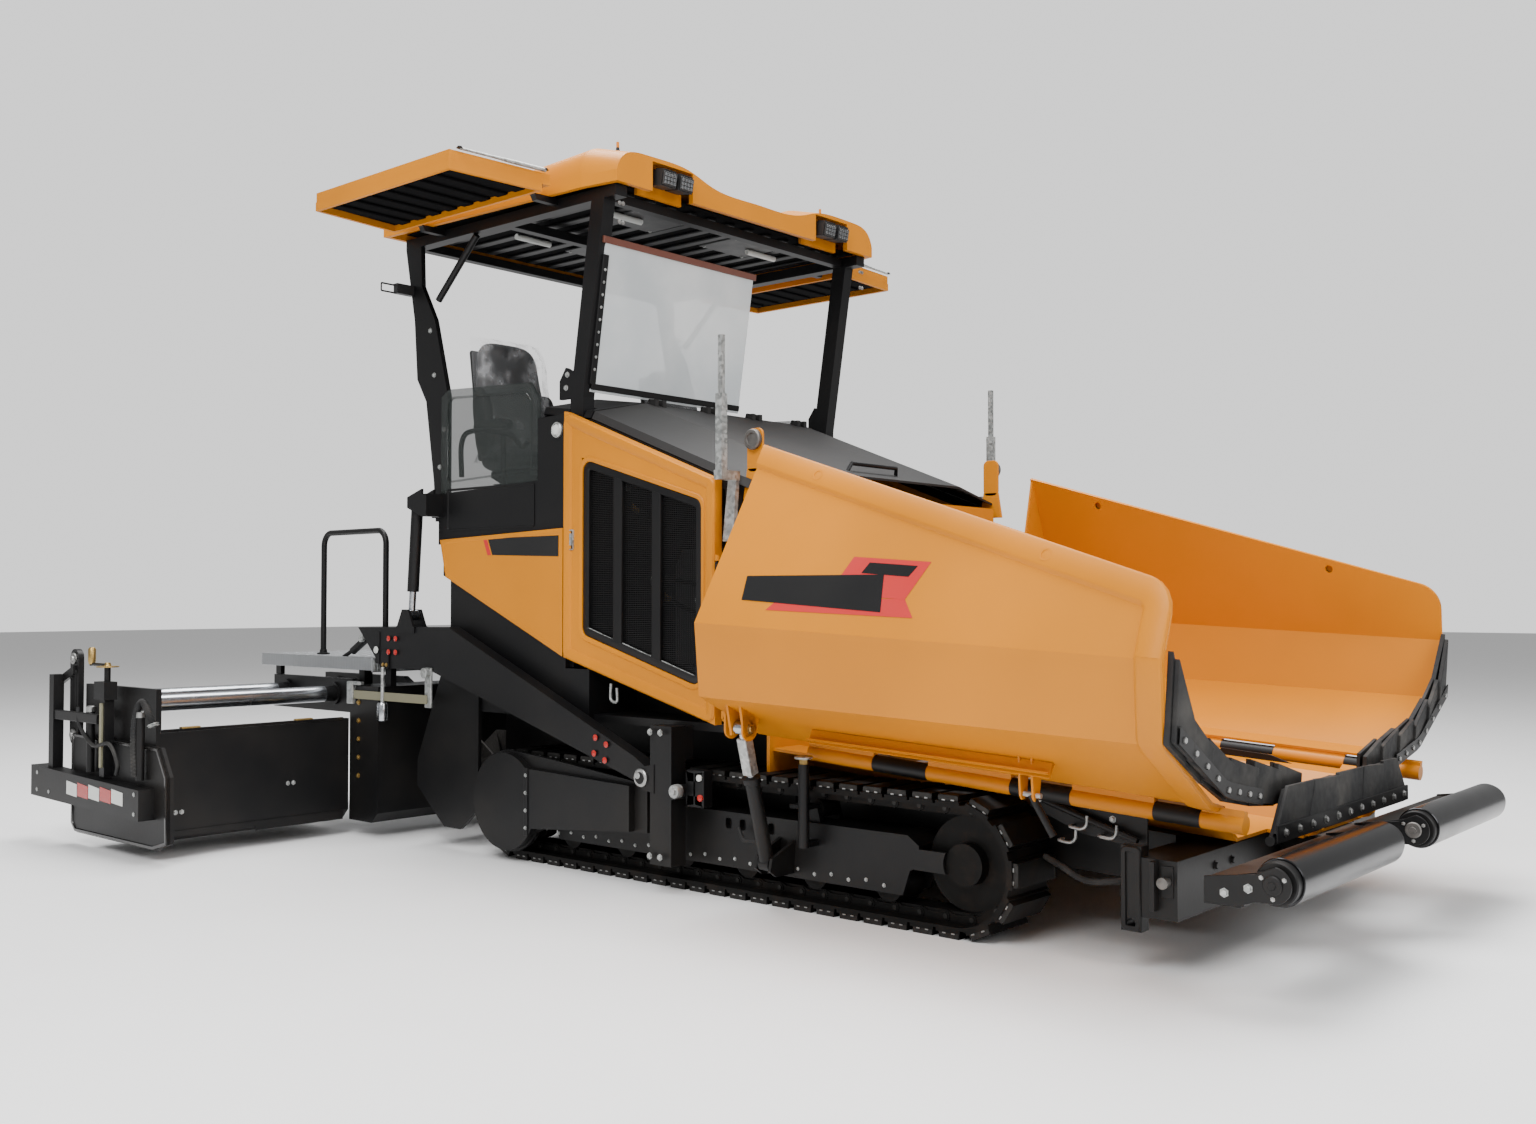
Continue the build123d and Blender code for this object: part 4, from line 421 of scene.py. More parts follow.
def tube(name, path, radius, finish, body, sides=12):
    """A round bar along a path. Each ring stands square on the path; the radius may vary along it."""
    path = np.array(path, float)
    ahead = np.gradient(path, axis=0)
    ahead /= np.linalg.norm(ahead, axis=1)[:, None]
    spread = np.ptp(path, axis=0)
    aside = np.eye(3)[int(np.argmin(spread))]
    across = np.cross(ahead, aside)
    across /= np.linalg.norm(across, axis=1)[:, None]
    up = np.cross(across, ahead)
    turn = np.linspace(0, 2 * np.pi, sides, endpoint=False)
    radius = np.broadcast_to(radius, (len(path),))[:, None, None]
    ring = np.cos(turn)[None, :, None] * across[:, None] + np.sin(turn)[None, :, None] * up[:, None]
    points = path[:, None] + radius * ring
    last = (len(path) - 1) * sides
    caps = [[np.arange(sides)[::-1]], [np.arange(sides) + last]]
    return make(name, points, [grid_faces(len(path), sides, True), *caps], finish, body, smooth=40)


def turned(name, profile, place, finish, body, sides=32):
    """A lathe-turned piece: (radius, height) points swept round the place's w axis and capped."""
    profile = np.array(profile, float)
    turn = np.linspace(0, 2 * np.pi, sides, endpoint=False)
    points = place(profile[:, :1] * np.cos(turn), profile[:, :1] * np.sin(turn), profile[:, 1:] + 0 * turn)
    last = (len(profile) - 1) * sides
    caps = [[np.arange(sides)[::-1]], [np.arange(sides) + last]]
    return make(name, points, [grid_faces(len(profile), sides, True), *caps], finish, body, smooth=35)


def bolts(name, spots, normal, radius, finish, body, sides=6):
    """Bolt heads on washers, all alike: rings of a hexagon, set out at every spot."""
    spots = np.atleast_2d(np.array(spots, float))
    helper = np.eye(3)[int(np.argmin(np.abs(normal)))]
    place = Place((0, 0, 0), np.cross(helper, normal), np.cross(normal, np.cross(helper, normal)))
    turn = np.linspace(0, 2 * np.pi, sides, endpoint=False)
    rings = np.array([(1.45, 0.0), (1.45, 0.16), (1.0, 0.18), (1.0, 0.75), (0.82, 0.9)]) * radius
    head = place(rings[:, :1] * np.cos(turn), rings[:, :1] * np.sin(turn),
                 rings[:, 1:] + 0 * turn).reshape(-1, 3)
    points = spots[:, None] + head[None]
    size = len(head)
    walls = repeated(size, grid_faces(len(rings), sides, True), len(spots))
    caps = repeated(size, np.array([np.arange(sides) + size - sides]), len(spots))
    feet = repeated(size, np.array([np.arange(sides)[::-1]]), len(spots))
    return make(name, points, [walls, caps, feet], finish, body)

# %% [markdown]
# ## The hopper's wings
# Each wing is bent from one sheet. Its skin is worked out in the hinge's own frame: how far along the
# hinge, how high above it, and from those how far out the sheet lies. Everything on the wing is then drawn
# on that skin, a little proud of it, so it follows both folds and the twist towards the front.

# %% The wing's skin
hinge = JOINTS["wing_left_fold"]
hinge_spot = np.array(hinge["pos_m"])
hinge_along = np.array(hinge["axis"])
hinge_up = np.cross(hinge_along, (0.0, 1.0, 0.0))
WING_REAR, WING_FRONT = -0.240, 1.960
RIDGES = np.array([[1.035, 1.035, 0.044, 0.044], [1.150, 1.150, 0.062, 0.070], [1.570, 1.570, 0.258, 0.318],
                   [1.622, 1.622, 0.588, 0.618], [1.195, 1.547, 1.405, 0.880]])


def hopper(hand, run, out, height):
    """A point at a run along the hinge, a distance out from the middle and a height above the hinge."""
    run, out, height = np.broadcast_arrays(run, out, height)
    middle = hinge_spot * (1, 0, 1)
    return (middle + run[..., None] * hinge_along + height[..., None] * hinge_up
            + hand * out[..., None] * np.array((0.0, 1.0, 0.0)))


def skin(hand, run, fold, lift=0.0):
    """The wing's outer face. fold counts its ridges from 0 at the hinge to 4 at the rim; lift stands
    proud of it."""
    run, fold = np.broadcast_arrays(np.asarray(run, float), np.asarray(fold, float))
    share = (run - WING_REAR) / (WING_FRONT - WING_REAR)
    first = np.clip(fold.astype(int), 0, 3)
    part = fold - first
    ridge = RIDGES[first] * (1 - part[..., None]) + RIDGES[first + 1] * part[..., None]
    out_rear, out_front, high_rear, high_front = (ridge[..., i] for i in range(4))
    out = out_rear + (out_front - out_rear) * share
    high = high_rear + (high_front - high_rear) * share
    step = RIDGES[first + 1] - RIDGES[first]
    rise_out = step[..., 0] + (step[..., 1] - step[..., 0]) * share
    rise_up = step[..., 2] + (step[..., 3] - step[..., 2]) * share
    length = np.hypot(rise_out, rise_up)
    return hopper(hand, run, out + lift * rise_up / length, high - lift * rise_out / length)


def panel_fold(run, height):
    """The fold number of a height above the hinge on the panel between ridges 3 and 4."""
    share = (run - WING_REAR) / (WING_FRONT - WING_REAR)
    foot = 0.588 + 0.030 * share
    top = 1.405 - 0.525 * share
    return 3 + (height - foot) / (top - foot)


# %% [markdown]
# The rim and the front edge carry a raised border with one rounded corner. It is a strip swept along the
# border's path: four points across it, from the skin up over the strip and back down to the skin.

# %% Raised border on each wing
CORNER = 0.13
RIM_SLOPE = -0.525 / 2.2


def border_path(inset, count=26):
    """Runs and heights along the rim, round the corner and down the front, moved inwards by an inset."""
    radius = CORNER - inset
    corner_run = WING_FRONT - CORNER
    lean = math.hypot(1, RIM_SLOPE)
    corner_high = 0.880 + RIM_SLOPE * (corner_run - WING_FRONT) - CORNER * lean
    angle = np.linspace(math.pi / 2 + math.atan(RIM_SLOPE), 0, count)
    arc_run = corner_run + radius * np.cos(angle)
    arc_high = corner_high + radius * np.sin(angle)
    rim_run = np.linspace(WING_REAR, arc_run[0], count)[:-1]
    rim_high = arc_high[0] + RIM_SLOPE * (rim_run - arc_run[0])
    front_high = np.linspace(arc_high[-1], 0.62, count)[1:]
    front_run = np.full(count - 1, WING_FRONT - inset)
    return np.concatenate([rim_run, arc_run, front_run]), np.concatenate([rim_high, arc_high, front_high])


def wing_border(side, hand):
    rows = []
    for inset, lift in ((0.001, -0.004), (0.004, 0.012), (0.012, 0.016), (0.088, 0.016), (0.096, 0.013),
                        (0.108, 0.0)):
        run, high = border_path(inset)
        rows.append(skin(hand, run, np.minimum(panel_fold(run, high), 4.0), lift))
    rows = np.array(rows)
    return make(f"wing_border_{side}", rows, [grid_faces(*rows.shape[:2])], YELLOW, f"wing_{side}", 50,
                closed=False)


def wing_front_border(side, hand):
    """The same strip on the lower two panels, down the front edge to the hinge."""
    rows = []
    for inset, lift in ((0.001, -0.004), (0.004, 0.012), (0.012, 0.016), (0.088, 0.016), (0.096, 0.013),
                        (0.108, 0.0)):
        rows.append(skin(hand, WING_FRONT - inset, np.array([0.35, 1.0, 1.05, 1.95, 2.05, 2.95, 3.02]), lift))
    rows = np.array(rows)
    return make(f"wing_front_strip_{side}", rows, [grid_faces(*rows.shape[:2])], YELLOW, f"wing_{side}", 50,
                closed=False)


def facing(spot, along, out):
    """A place on a slanting panel: u along it, w towards out."""
    along = np.array(along) / np.linalg.norm(along)
    up = np.cross(out, along)
    return Place(spot, along, up) if np.dot(np.cross(along, up), out) > 0 else Place(spot, up, along)


for side, hand in SIDES.items():
    wing_border(side, hand)
    wing_front_border(side, hand)
    body = f"wing_{side}"
    for i, run in enumerate((0.16, 1.42)):
        high = 1.405 - 0.525 * (run - WING_REAR) / 2.2 - 0.055
        fold = panel_fold(np.array(run), high)
        spot = skin(hand, run, fold, 0.0165)
        out = skin(hand, run, fold, 1.0) - skin(hand, run, fold, 0.0)
        hole = facing(spot, hinge_along, out)
        turned(f"lifting_hole_{side}_{i}", [(0.024, -0.003), (0.026, 0.001), (0.019, 0.001), (0.018, -0.006)],
               hole, YELLOW, body, 24)
        turned(f"lifting_hole_dark_{side}_{i}", [(0.019, -0.004), (0.001, -0.004)], hole, BLACK, body, 20)
    # A long stiffener under the wing, with its front end turned down
    run = np.linspace(0.22, 1.40, 12)
    foot = skin(hand, run, 1.42, 0.002)
    tip = skin(hand, run, 1.42, 0.052)
    lip = skin(hand, run, 1.47, 0.056)
    edge = skin(hand, run, 1.47, 0.048)
    rows = np.array([foot, tip, lip, edge])
    make(f"wing_stiffener_{side}", rows, [grid_faces(4, 12)], YELLOW, body, closed=False).modifiers.new(
        "wall", "SOLIDIFY").thickness = 0.006
    # The hinge's fixed sleeves are black between the wing's yellow ones
    for i, (start, end) in enumerate(((0.366, 0.656), (1.066, 1.346), (1.696, 1.886))):
        ends = hopper(hand, np.array([start + 0.002, end - 0.002]), 1.050, 0.0)
        tube(f"hinge_sleeve_{side}_{i}", ends, 0.0375, BLACK, "machine", 20)

# %% [markdown]
# ### Rubber strips
# Thick rubber strips hang like shingles in front of the wings and across the mouth. Each strip overlaps the
# next, so one can be swapped when a truck tears it. A row of bolts with broad washers clamps them to a
# steel bar.

# %% Strips on the wings and across the mouth
APRON_LOW = np.array([(0.40, 0.020), (0.70, 0.012), (1.14, 0.090), (1.585, 0.330)])
APRON_HIGH = np.array([(0.40, 0.150), (1.15, 0.250), (1.45, 0.420), (1.60, 0.660)])
STRIP_EDGES = np.array([0.405, 0.62, 0.86, 1.09, 1.29, 1.45, 1.575])


def apron_height(table, out):
    return np.interp(out, table[:, 0], table[:, 1])


for side, hand in SIDES.items():
    body = f"wing_{side}"
    for i in range(len(STRIP_EDGES) - 1):
        inner, outer = STRIP_EDGES[i] - 0.012, STRIP_EDGES[i + 1]
        near, far = 0.016 + 0.001 * i, 0.036 + 0.001 * i
        outline = np.array([(inner, apron_height(APRON_LOW, inner) + 0.012),
                            (outer, apron_height(APRON_LOW, outer) + 0.012),
                            (outer, apron_height(APRON_HIGH, outer) + 0.006),
                            (inner, apron_height(APRON_HIGH, inner) - 0.022)])
        lean = np.array([(near + 0.012, near, near, near + 0.012), (far + 0.012, far, far, far + 0.012)])
        points = np.concatenate([hopper(hand, WING_FRONT + lean[k], outline[:, 0],
                                        outline[:, 1]) for k in (0, 1)])
        ring = np.arange(4)
        walls = np.stack([ring, np.roll(ring, -1), np.roll(ring, -1) + 4, ring + 4], -1)
        make(f"wing_strip_{side}_{i}", points, [walls, [ring[::-1]], [ring + 4]], RUBBER, body, bevel=0.003)
    out = np.linspace(0.84, 1.53, 8)
    spots = hopper(hand, WING_FRONT + 0.048, out, apron_height(APRON_LOW, out) + 0.045)
    bolts(f"wing_strip_bolts_{side}", spots, hinge_along, 0.0125, BOLT, body)
    rail_out = np.linspace(0.80, 1.57, 14)
    low, high = apron_height(APRON_LOW, rail_out), apron_height(APRON_LOW, rail_out) + 0.075
    rows = np.array([hopper(hand, WING_FRONT + 0.046, rail_out, low + 0.012),
                     hopper(hand, WING_FRONT + 0.052, rail_out, low + 0.014),
                     hopper(hand, WING_FRONT + 0.052, rail_out, high),
                     hopper(hand, WING_FRONT + 0.046, rail_out, high)])
    make(f"wing_strip_rail_{side}", rows, [grid_faces(4, 14)], BLACK, body, closed=False)

low, high = corners("front_apron")
apron_x = (low[0] + high[0]) / 2
mouth = Place((apron_x, 0, low[2] + 0.018), (0, 1, 0), (0, 0, 1))
edges = np.array([-0.79, -0.46, -0.14, 0.18, 0.50, 0.79])
tops = np.array([-0.66, -0.38, -0.10, 0.20, 0.47, 0.655])
for i in range(5):
    lean = 0.009 + 0.004 * (i % 2)
    outline = [(edges[i] - 0.006, 0.03), (edges[i + 1], 0.03), (tops[i + 1], 0.197 - 0.01 * (i % 2)),
               (tops[i] - 0.006, 0.200)]
    plate(f"mouth_strip_{i}", outline, (lean, lean + 0.016), mouth, RUBBER, "apron", 0.003)
bars("mouth_rail", [(-0.79, -0.006, 0.02)], [(0.79, 0.062, 0.031)], BLACK, "apron", mouth, 0.003)
spots = mouth(np.linspace(-0.72, 0.72, 11), 0.028, 0.031)
bolts("mouth_bolts", spots, (1, 0, 0), 0.0125, BOLT, "apron")

# %% [markdown]
# ## Frames and mouldings
# Doors, grilles and panels get their edges from one tool. It takes a closed outline, rounds its corners, and
# stacks inward offsets of it at different heights, as a moulding follows a picture frame.

# %% Rounded outlines and mouldings
def rounded(outline, radius, steps=5):
    """Each corner becomes an arc: it starts where the radius touches one edge and ends where it touches
    the next."""
    outline = np.array(outline, float)
    before = np.roll(outline, 1, 0) - outline
    after = np.roll(outline, -1, 0) - outline
    before /= np.linalg.norm(before, axis=1)[:, None]
    after /= np.linalg.norm(after, axis=1)[:, None]
    half = np.arccos(np.clip((before * after).sum(1), -1, 1)) / 2
    share = np.linspace(-1, 1, steps)[None, :, None]
    sweep = (np.pi / 2 - half)[:, None, None]
    middle = before + after
    middle /= np.linalg.norm(middle, axis=1)[:, None]
    centre = outline + middle * (radius / np.sin(half))[:, None]
    turn = share * sweep
    side = np.stack([-middle[:, 1], middle[:, 0]], 1)
    sense = np.sign((side * after).sum(1))[:, None, None]
    ring = centre[:, None] - radius * (np.cos(turn) * middle[:, None] - sense * np.sin(turn) * side[:, None])
    return ring.reshape(-1, 2)


def inset(outline, distance):
    """The outline moved inwards: every corner slides along the line that halves it."""
    outline = np.array(outline, float)
    edge = np.roll(outline, -1, 0) - outline
    area = (outline[:, 0] * np.roll(outline[:, 1], -1) - outline[:, 1] * np.roll(outline[:, 0], -1)).sum()
    normal = np.stack([-edge[:, 1], edge[:, 0]], 1) / np.linalg.norm(edge, axis=1)[:, None] * np.sign(area)
    middle = normal + np.roll(normal, 1, 0)
    return outline + distance * 2 * middle / (middle ** 2).sum(1)[:, None]


def moulding(name, outline, profile, place, finish, body):
    """A frame along an outline. Its profile lists (distance inwards, height) from the outer edge to the
    inner one."""
    rows = np.array([place(ring[:, 0], ring[:, 1], height) for ring, height in
                     ((inset(outline, distance), height) for distance, height in profile)])
    return make(name, rows, [grid_faces(*rows.shape[:2], True)], finish, body, 40, closed=False)


def slanted(outline, u):
    """The lowest and highest v of an outline at each u, for outlines that bulge outwards everywhere."""
    outline = np.array(outline, float)
    ends = np.roll(outline, -1, 0)
    low, high = np.full(len(u), np.inf), np.full(len(u), -np.inf)
    for start, end in zip(outline, ends):
        if abs(start[0] - end[0]) < 1e-9:
            continue
        share = (u - start[0]) / (end[0] - start[0])
        v = start[1] + share * (end[1] - start[1])
        inside = (share >= -1e-9) & (share <= 1 + 1e-9)
        low[inside] = np.minimum(low[inside], v[inside])
        high[inside] = np.maximum(high[inside], v[inside])
    return low, high


# %% [markdown]
# ## Engine doors
# The door is a folded yellow frame round a black grille. The grille has three columns of woven wire between
# two posts. The wire is modelled strand by strand, so the engine shows through it from any side.

# %% Doors
DOOR_FACE = 1.150
DOOR = [(-0.420, 1.115), (0.675, 0.818), (0.675, 2.000), (-0.420, 2.420)]
GRILLE = [(-0.280, 1.235), (0.585, 0.985), (0.585, 1.905), (-0.280, 2.165)]
COLUMNS = ((-0.236, -0.046), (0.016, 0.232), (0.298, 0.541))
frame_profile = [(0.001, -0.020), (0.001, 0.004), (0.010, 0.012), (0.046, 0.012), (0.058, 0.003),
                 (0.062, 0.0)]
for side, hand in SIDES.items():
    body = f"door_{side}"
    face = side_place(hand, DOOR_FACE)
    moulding(f"door_rim_{side}", rounded(DOOR, 0.045), frame_profile, face, YELLOW, body)
    moulding(f"grille_rim_{side}", rounded(inset(GRILLE, -0.022), 0.075),
             [(0.0, 0.001), (0.005, 0.006), (0.018, 0.006), (0.026, 0.000), (0.028, -0.016)], face, YELLOW,
             body)
    black = moulding(f"grille_frame_{side}", rounded(inset(GRILLE, 0.005), 0.050),
                     [(-0.002, -0.030), (0.0, -0.008), (0.006, -0.003), (0.036, -0.003), (0.042, -0.010),
                      (0.042, -0.036)],
                     face, BLACK, body)
    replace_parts(black, f"door_grille_{side}")
    hole = inset(GRILLE, 0.040)
    for i, x in enumerate((-0.015, 0.265)):
        foot, head = slanted(hole, np.array([x - 0.031, x + 0.033]))
        plate(f"grille_post_{side}_{i}",
              [(x - 0.031, foot[0] - 0.01), (x + 0.033, foot[1] - 0.01), (x + 0.033, head[1] + 0.01),
                                          (x - 0.031, head[0] + 0.01)], (-0.036, -0.004), face, BLACK, body,
              0.006)
    for i, (start, end) in enumerate(COLUMNS):
        foot, head = slanted(hole, np.array([start, end]))
        tube(f"grille_bright_edge_{side}_{i}",
             face(np.array([start + 0.004, end - 0.004]), foot + 0.006, -0.012), 0.0035, ZINC, body, 8)
        rows = np.arange(foot.min(), head.max(), 0.0095)
        first = np.interp(rows, [foot[1], foot[0]],
                          [end, start]) if foot[1] < foot[0] else np.full(len(rows), start)
        last = np.interp(-rows, [-head[0], -head[1]], [start, end])
        keep = last - first > 0.02
        rows, first, last = rows[keep], first[keep], last[keep]
        flat = np.full(len(rows), -0.026)
        bars(f"grille_wires_{side}_{i}", np.stack([first, rows - 0.0016, flat], 1),
             np.stack([last, rows + 0.0016, flat + 0.003], 1),
             BLACK, body, face)
        columns = np.arange(start + 0.006, end, 0.013)
        low, high = slanted(hole, columns)
        flat = np.full(len(columns), -0.029)
        bars(f"grille_strands_{side}_{i}", np.stack([columns - 0.0013, low, flat], 1),
             np.stack([columns + 0.0013, high, flat + 0.003], 1), BLACK, body, face)
    latch = face.at(-0.365, 1.735)
    moulding(f"latch_rim_{side}",
             rounded([(-0.027, -0.055), (0.027, -0.055), (0.027, 0.055), (-0.027, 0.055)], 0.010),
             [(0.0, 0.0), (0.001, 0.008), (0.007, 0.008), (0.009, 0.001)], latch, ZINC, body)
    plate(f"latch_cup_{side}", [(-0.019, -0.047), (0.019, -0.047), (0.019, 0.047), (-0.019, 0.047)],
          (0.0005, 0.002), latch, BLACK,
          body)
    plate(f"latch_paddle_{side}", [(-0.013, -0.030), (0.013, -0.030), (0.013, 0.034), (-0.013, 0.034)],
          (0.002, 0.008), latch, ZINC,
          body, 0.004)
    # Hoses and fittings on the engine show through the wire
    inside = side_place(hand, 0.0)
    routes = (((0.10, 1.30, 0.55), (0.16, 1.44, 0.98), (0.13, 1.53, 1.01), (0.05, 1.50, 0.60)),
              ((0.36, 1.36, 0.60), (0.44, 1.43, 1.00), (0.47, 1.36, 1.02), (0.42, 1.25, 0.98),
               (0.40, 1.20, 0.60)),
              ((0.40, 1.64, 0.60), (0.45, 1.69, 0.99), (0.53, 1.66, 1.00), (0.55, 1.55, 0.98),
               (0.50, 1.46, 0.60)),
              ((-0.20, 1.95, 0.60), (-0.12, 2.01, 0.99), (-0.05, 1.90, 1.00), (-0.16, 1.80, 0.60)))
    for i, route in enumerate(routes):
        route = np.array(route)
        path = smooth_path(inside(route[:, 0], route[:, 1], route[:, 2]), 36)
        tube(f"engine_hose_{side}_{i}", path, 0.013, RUBBER, "machine", 10)
        for j, k in enumerate((12, 24)):
            tube(f"engine_fitting_{side}_{i}_{j}", path[k - 2:k + 2], 0.018, ZINC if (i + j) % 2 else BRASS,
                 "machine", 6)
print("doors dressed")

# %% [markdown]
# ## Canopy
# A sheet-metal roof like this one is pressed from below: its rim is folded down and its underside is dark.
# The lining here is a set of dark panels just inside the shell, with pressed ribs, a few pale access covers
# and the lamps' brackets. Each flap is a tray of the same kind, with a steel gas strut along its front
# edge.

# %% Underside of the roof
roof_low, roof_high = corners("canopy_roof")
frame_high = corners("canopy_frame")[1]
ceiling = roof_low[2] + 0.030
bars("roof_lining", [(roof_low[0] + 0.05, -1.08, ceiling)], [(roof_high[0] - 0.13, 1.08, ceiling + 0.006)],
     LINING, "machine")
rib_y = np.linspace(-0.98, 0.98, 13)
ribs_low = np.stack([np.full(13, roof_low[0] + 0.10), rib_y - 0.03, np.full(13, ceiling - 0.016)], 1)
ribs_high = np.stack([np.full(13, roof_high[0] - 0.20), rib_y + 0.03, np.full(13, ceiling)], 1)
bars("roof_ribs", ribs_low, ribs_high, BLACK, "machine", bevel=0.006)
covers = np.array([(-0.72, -0.62), (-0.72, 0.20), (-1.45, -0.25)])
bars("roof_covers", [(x, y, ceiling - 0.022) for x, y in covers],
     [(x + 0.32, y + 0.40, ceiling - 0.010) for x, y in covers],
     PLASTIC, "machine", bevel=0.004)
spots = [(x + dx, y + dy, ceiling - 0.022) for x,
         y in covers for dx in (0.025, 0.295) for dy in (0.025, 0.375)]
bolts("roof_cover_bolts", spots, (0, 0, -1), 0.008, BOLT, "machine")
for side, hand in SIDES.items():
    for i, x in enumerate((-0.55, -1.35)):
        tube(f"roof_lamp_{side}_{i}", [(x, hand * 0.46, ceiling - 0.035), (x, hand * 0.72, ceiling - 0.035)],
             0.018, WHITE_GLASS,
             "machine")
    spots = [(frame_high[0] + 0.001, hand * y, z) for y in (1.030, 1.055) for z in (3.40, 3.50)]
    bolts(f"post_bolts_{side}", spots, (1, 0, 0), 0.009, BOLT, "machine")

# %% [markdown]
# The two lamps in each corner are housings with cooling fins at the back and a grid of lenses in front.

# %% Roof lamps
for side, hand in SIDES.items():
    for i, y in enumerate((0.575, 0.705)):
        face = Place((-0.0275, hand * (y + 0.055), 3.676), (0, 1, 0), (0.18, 0, 0.98))
        bars(f"lamp_rim_{side}_{i}", [(-0.050, -0.036, 0.0)], [(0.050, 0.036, 0.012)], PLASTIC, "machine",
             face, 0.004)
        u, v = np.meshgrid(np.linspace(-0.034, 0.034, 4), np.linspace(-0.02, 0.02, 3))
        u, v = u.ravel(), v.ravel()
        bars(f"lamp_lenses_{side}_{i}", np.stack([u - 0.0095, v - 0.0085, np.full(12, 0.010)], 1),
             np.stack([u + 0.0095, v + 0.0085, np.full(12, 0.0165)], 1), LENS, "machine", face, 0.003)
        fins = np.linspace(-0.045, 0.045, 8)
        bars(f"lamp_fins_{side}_{i}", np.stack([fins - 0.003, np.full(8, 0.036), np.full(8, -0.06)], 1),
             np.stack([fins + 0.003, np.full(8, 0.050), np.full(8, 0.0)], 1), PLASTIC, "machine", face)

# %% Flaps
for side, hand in SIDES.items():
    low, high = corners(f"canopy_flap_{side}")
    body = f"flap_{side}"
    under = Place((0, 0, 3.610), (1, 0, 0), (0, 1, 0), (0, 0, 1))
    near, far = 1.262, 1.860
    outline = np.array([(-0.433, 1.305), (-0.480, 1.860), (-1.680, 1.860), (-1.737, 1.305)]) * (1, hand)
    moulding(f"flap_fascia_{side}", outline,
             [(0.004, 0.010), (-0.003, 0.008), (-0.003, -0.040), (0.006, -0.044), (0.016, -0.040),
                                              (0.016, 0.004)], under, YELLOW, body)
    edges = inset(outline, 0.010)
    plate(f"flap_lining_{side}", edges, (-0.004, -0.001), under, LINING, body)
    rows = np.linspace(-1.60, -0.58, 8)
    bars(f"flap_ribs_{side}",
         [(x - 0.042, min(hand * (near + 0.06), hand * (far - 0.07)), -0.018) for x in rows],
         [(x + 0.042, max(hand * (near + 0.06), hand * (far - 0.07)), -0.003) for x in rows], LINING, body,
         under, bevel=0.008)
    rail = under(np.linspace(-0.405, -0.448, 6), hand * np.linspace(1.300, 1.820, 6), 0.066)
    tube(f"flap_strut_{side}", rail, [0.011, 0.011, 0.011, 0.007, 0.007, 0.007], ZINC, body)
    bolts(f"flap_strut_ends_{side}", [rail[0], rail[-1]], (0, 0, 1), 0.012, BLACK, body, 12)

# %% Aerials and the windscreen's trim
for side, hand in SIDES.items():
    turned(f"aerial_foot_{side}", [(0.020, 0), (0.016, 0.012), (0.010, 0.03), (0.009, 0.04)],
           Place((-0.300, hand * 0.88, 3.835), (1, 0, 0), (0, 1, 0)), RUBBER, "machine")
low, high = corners("windscreen")
lean = np.array((0.1538, 0, 1.0)) * (high[2] - low[2])
pane = Place((high[0] - lean[0] + 0.001, 0, low[2]), (0, 1, 0), lean)
tall = float(np.linalg.norm(lean))
bars("screen_strip", [(low[1] - 0.02, tall - 0.020, -0.012)], [(high[1] + 0.02, tall + 0.016, 0.006)], MAROON,
     "machine", pane, 0.003)
bars("screen_edge", [(low[1] - 0.012, 0.04, -0.010)], [(low[1] + 0.028, tall - 0.08, 0.005)], BLACK,
     "machine", pane, 0.003)
holes = pane(np.full(9, low[1] + 0.008), np.linspace(0.12, tall - 0.16, 9), 0.005)
bolts("screen_screws", holes, pane.w, 0.006, ZINC, "machine")
bars("screen_foot", [(low[1], 0.012, -0.014)], [(high[1], 0.045, 0.006)], BLACK, "machine", pane, 0.003)

# %% [markdown]
# ### Rear side panels
# A plain yellow panel with one dark flash. The flash has no lettering: it ends in a slanted red tip.

# %% Flash and gaps on the rear panels
for side, hand in SIDES.items():
    face = side_place(hand, DOOR_FACE)
    plate(f"flash_{side}", [(-1.02, 1.668), (-0.462, 1.650), (-0.462, 1.762), (-1.060, 1.762)],
          (0.0002, 0.0012), face, GLOSS, "machine")
    plate(f"flash_tip_{side}", [(-1.062, 1.668), (-1.030, 1.668), (-1.070, 1.762), (-1.102, 1.762)],
          (0.0002, 0.0012), face, RED,
          "machine")
    panel = [(-1.500, 1.765), (-1.445, 1.550), (-0.428, 1.118), (-0.428, 1.800)]
    moulding(f"panel_rim_{side}", panel,
             [(0.0, -0.010), (0.0, 0.0015), (0.004, 0.003), (0.020, 0.003), (0.026, 0.0003)], face, YELLOW,
             "machine")

# %% [markdown]
# ## Tracks and the machine's side
# The shoes are bolted to chain links. Guides hold the tow arms, with round-headed rollers that the arm runs
# between. The hoses and fittings near the track are what a mechanic would see first.

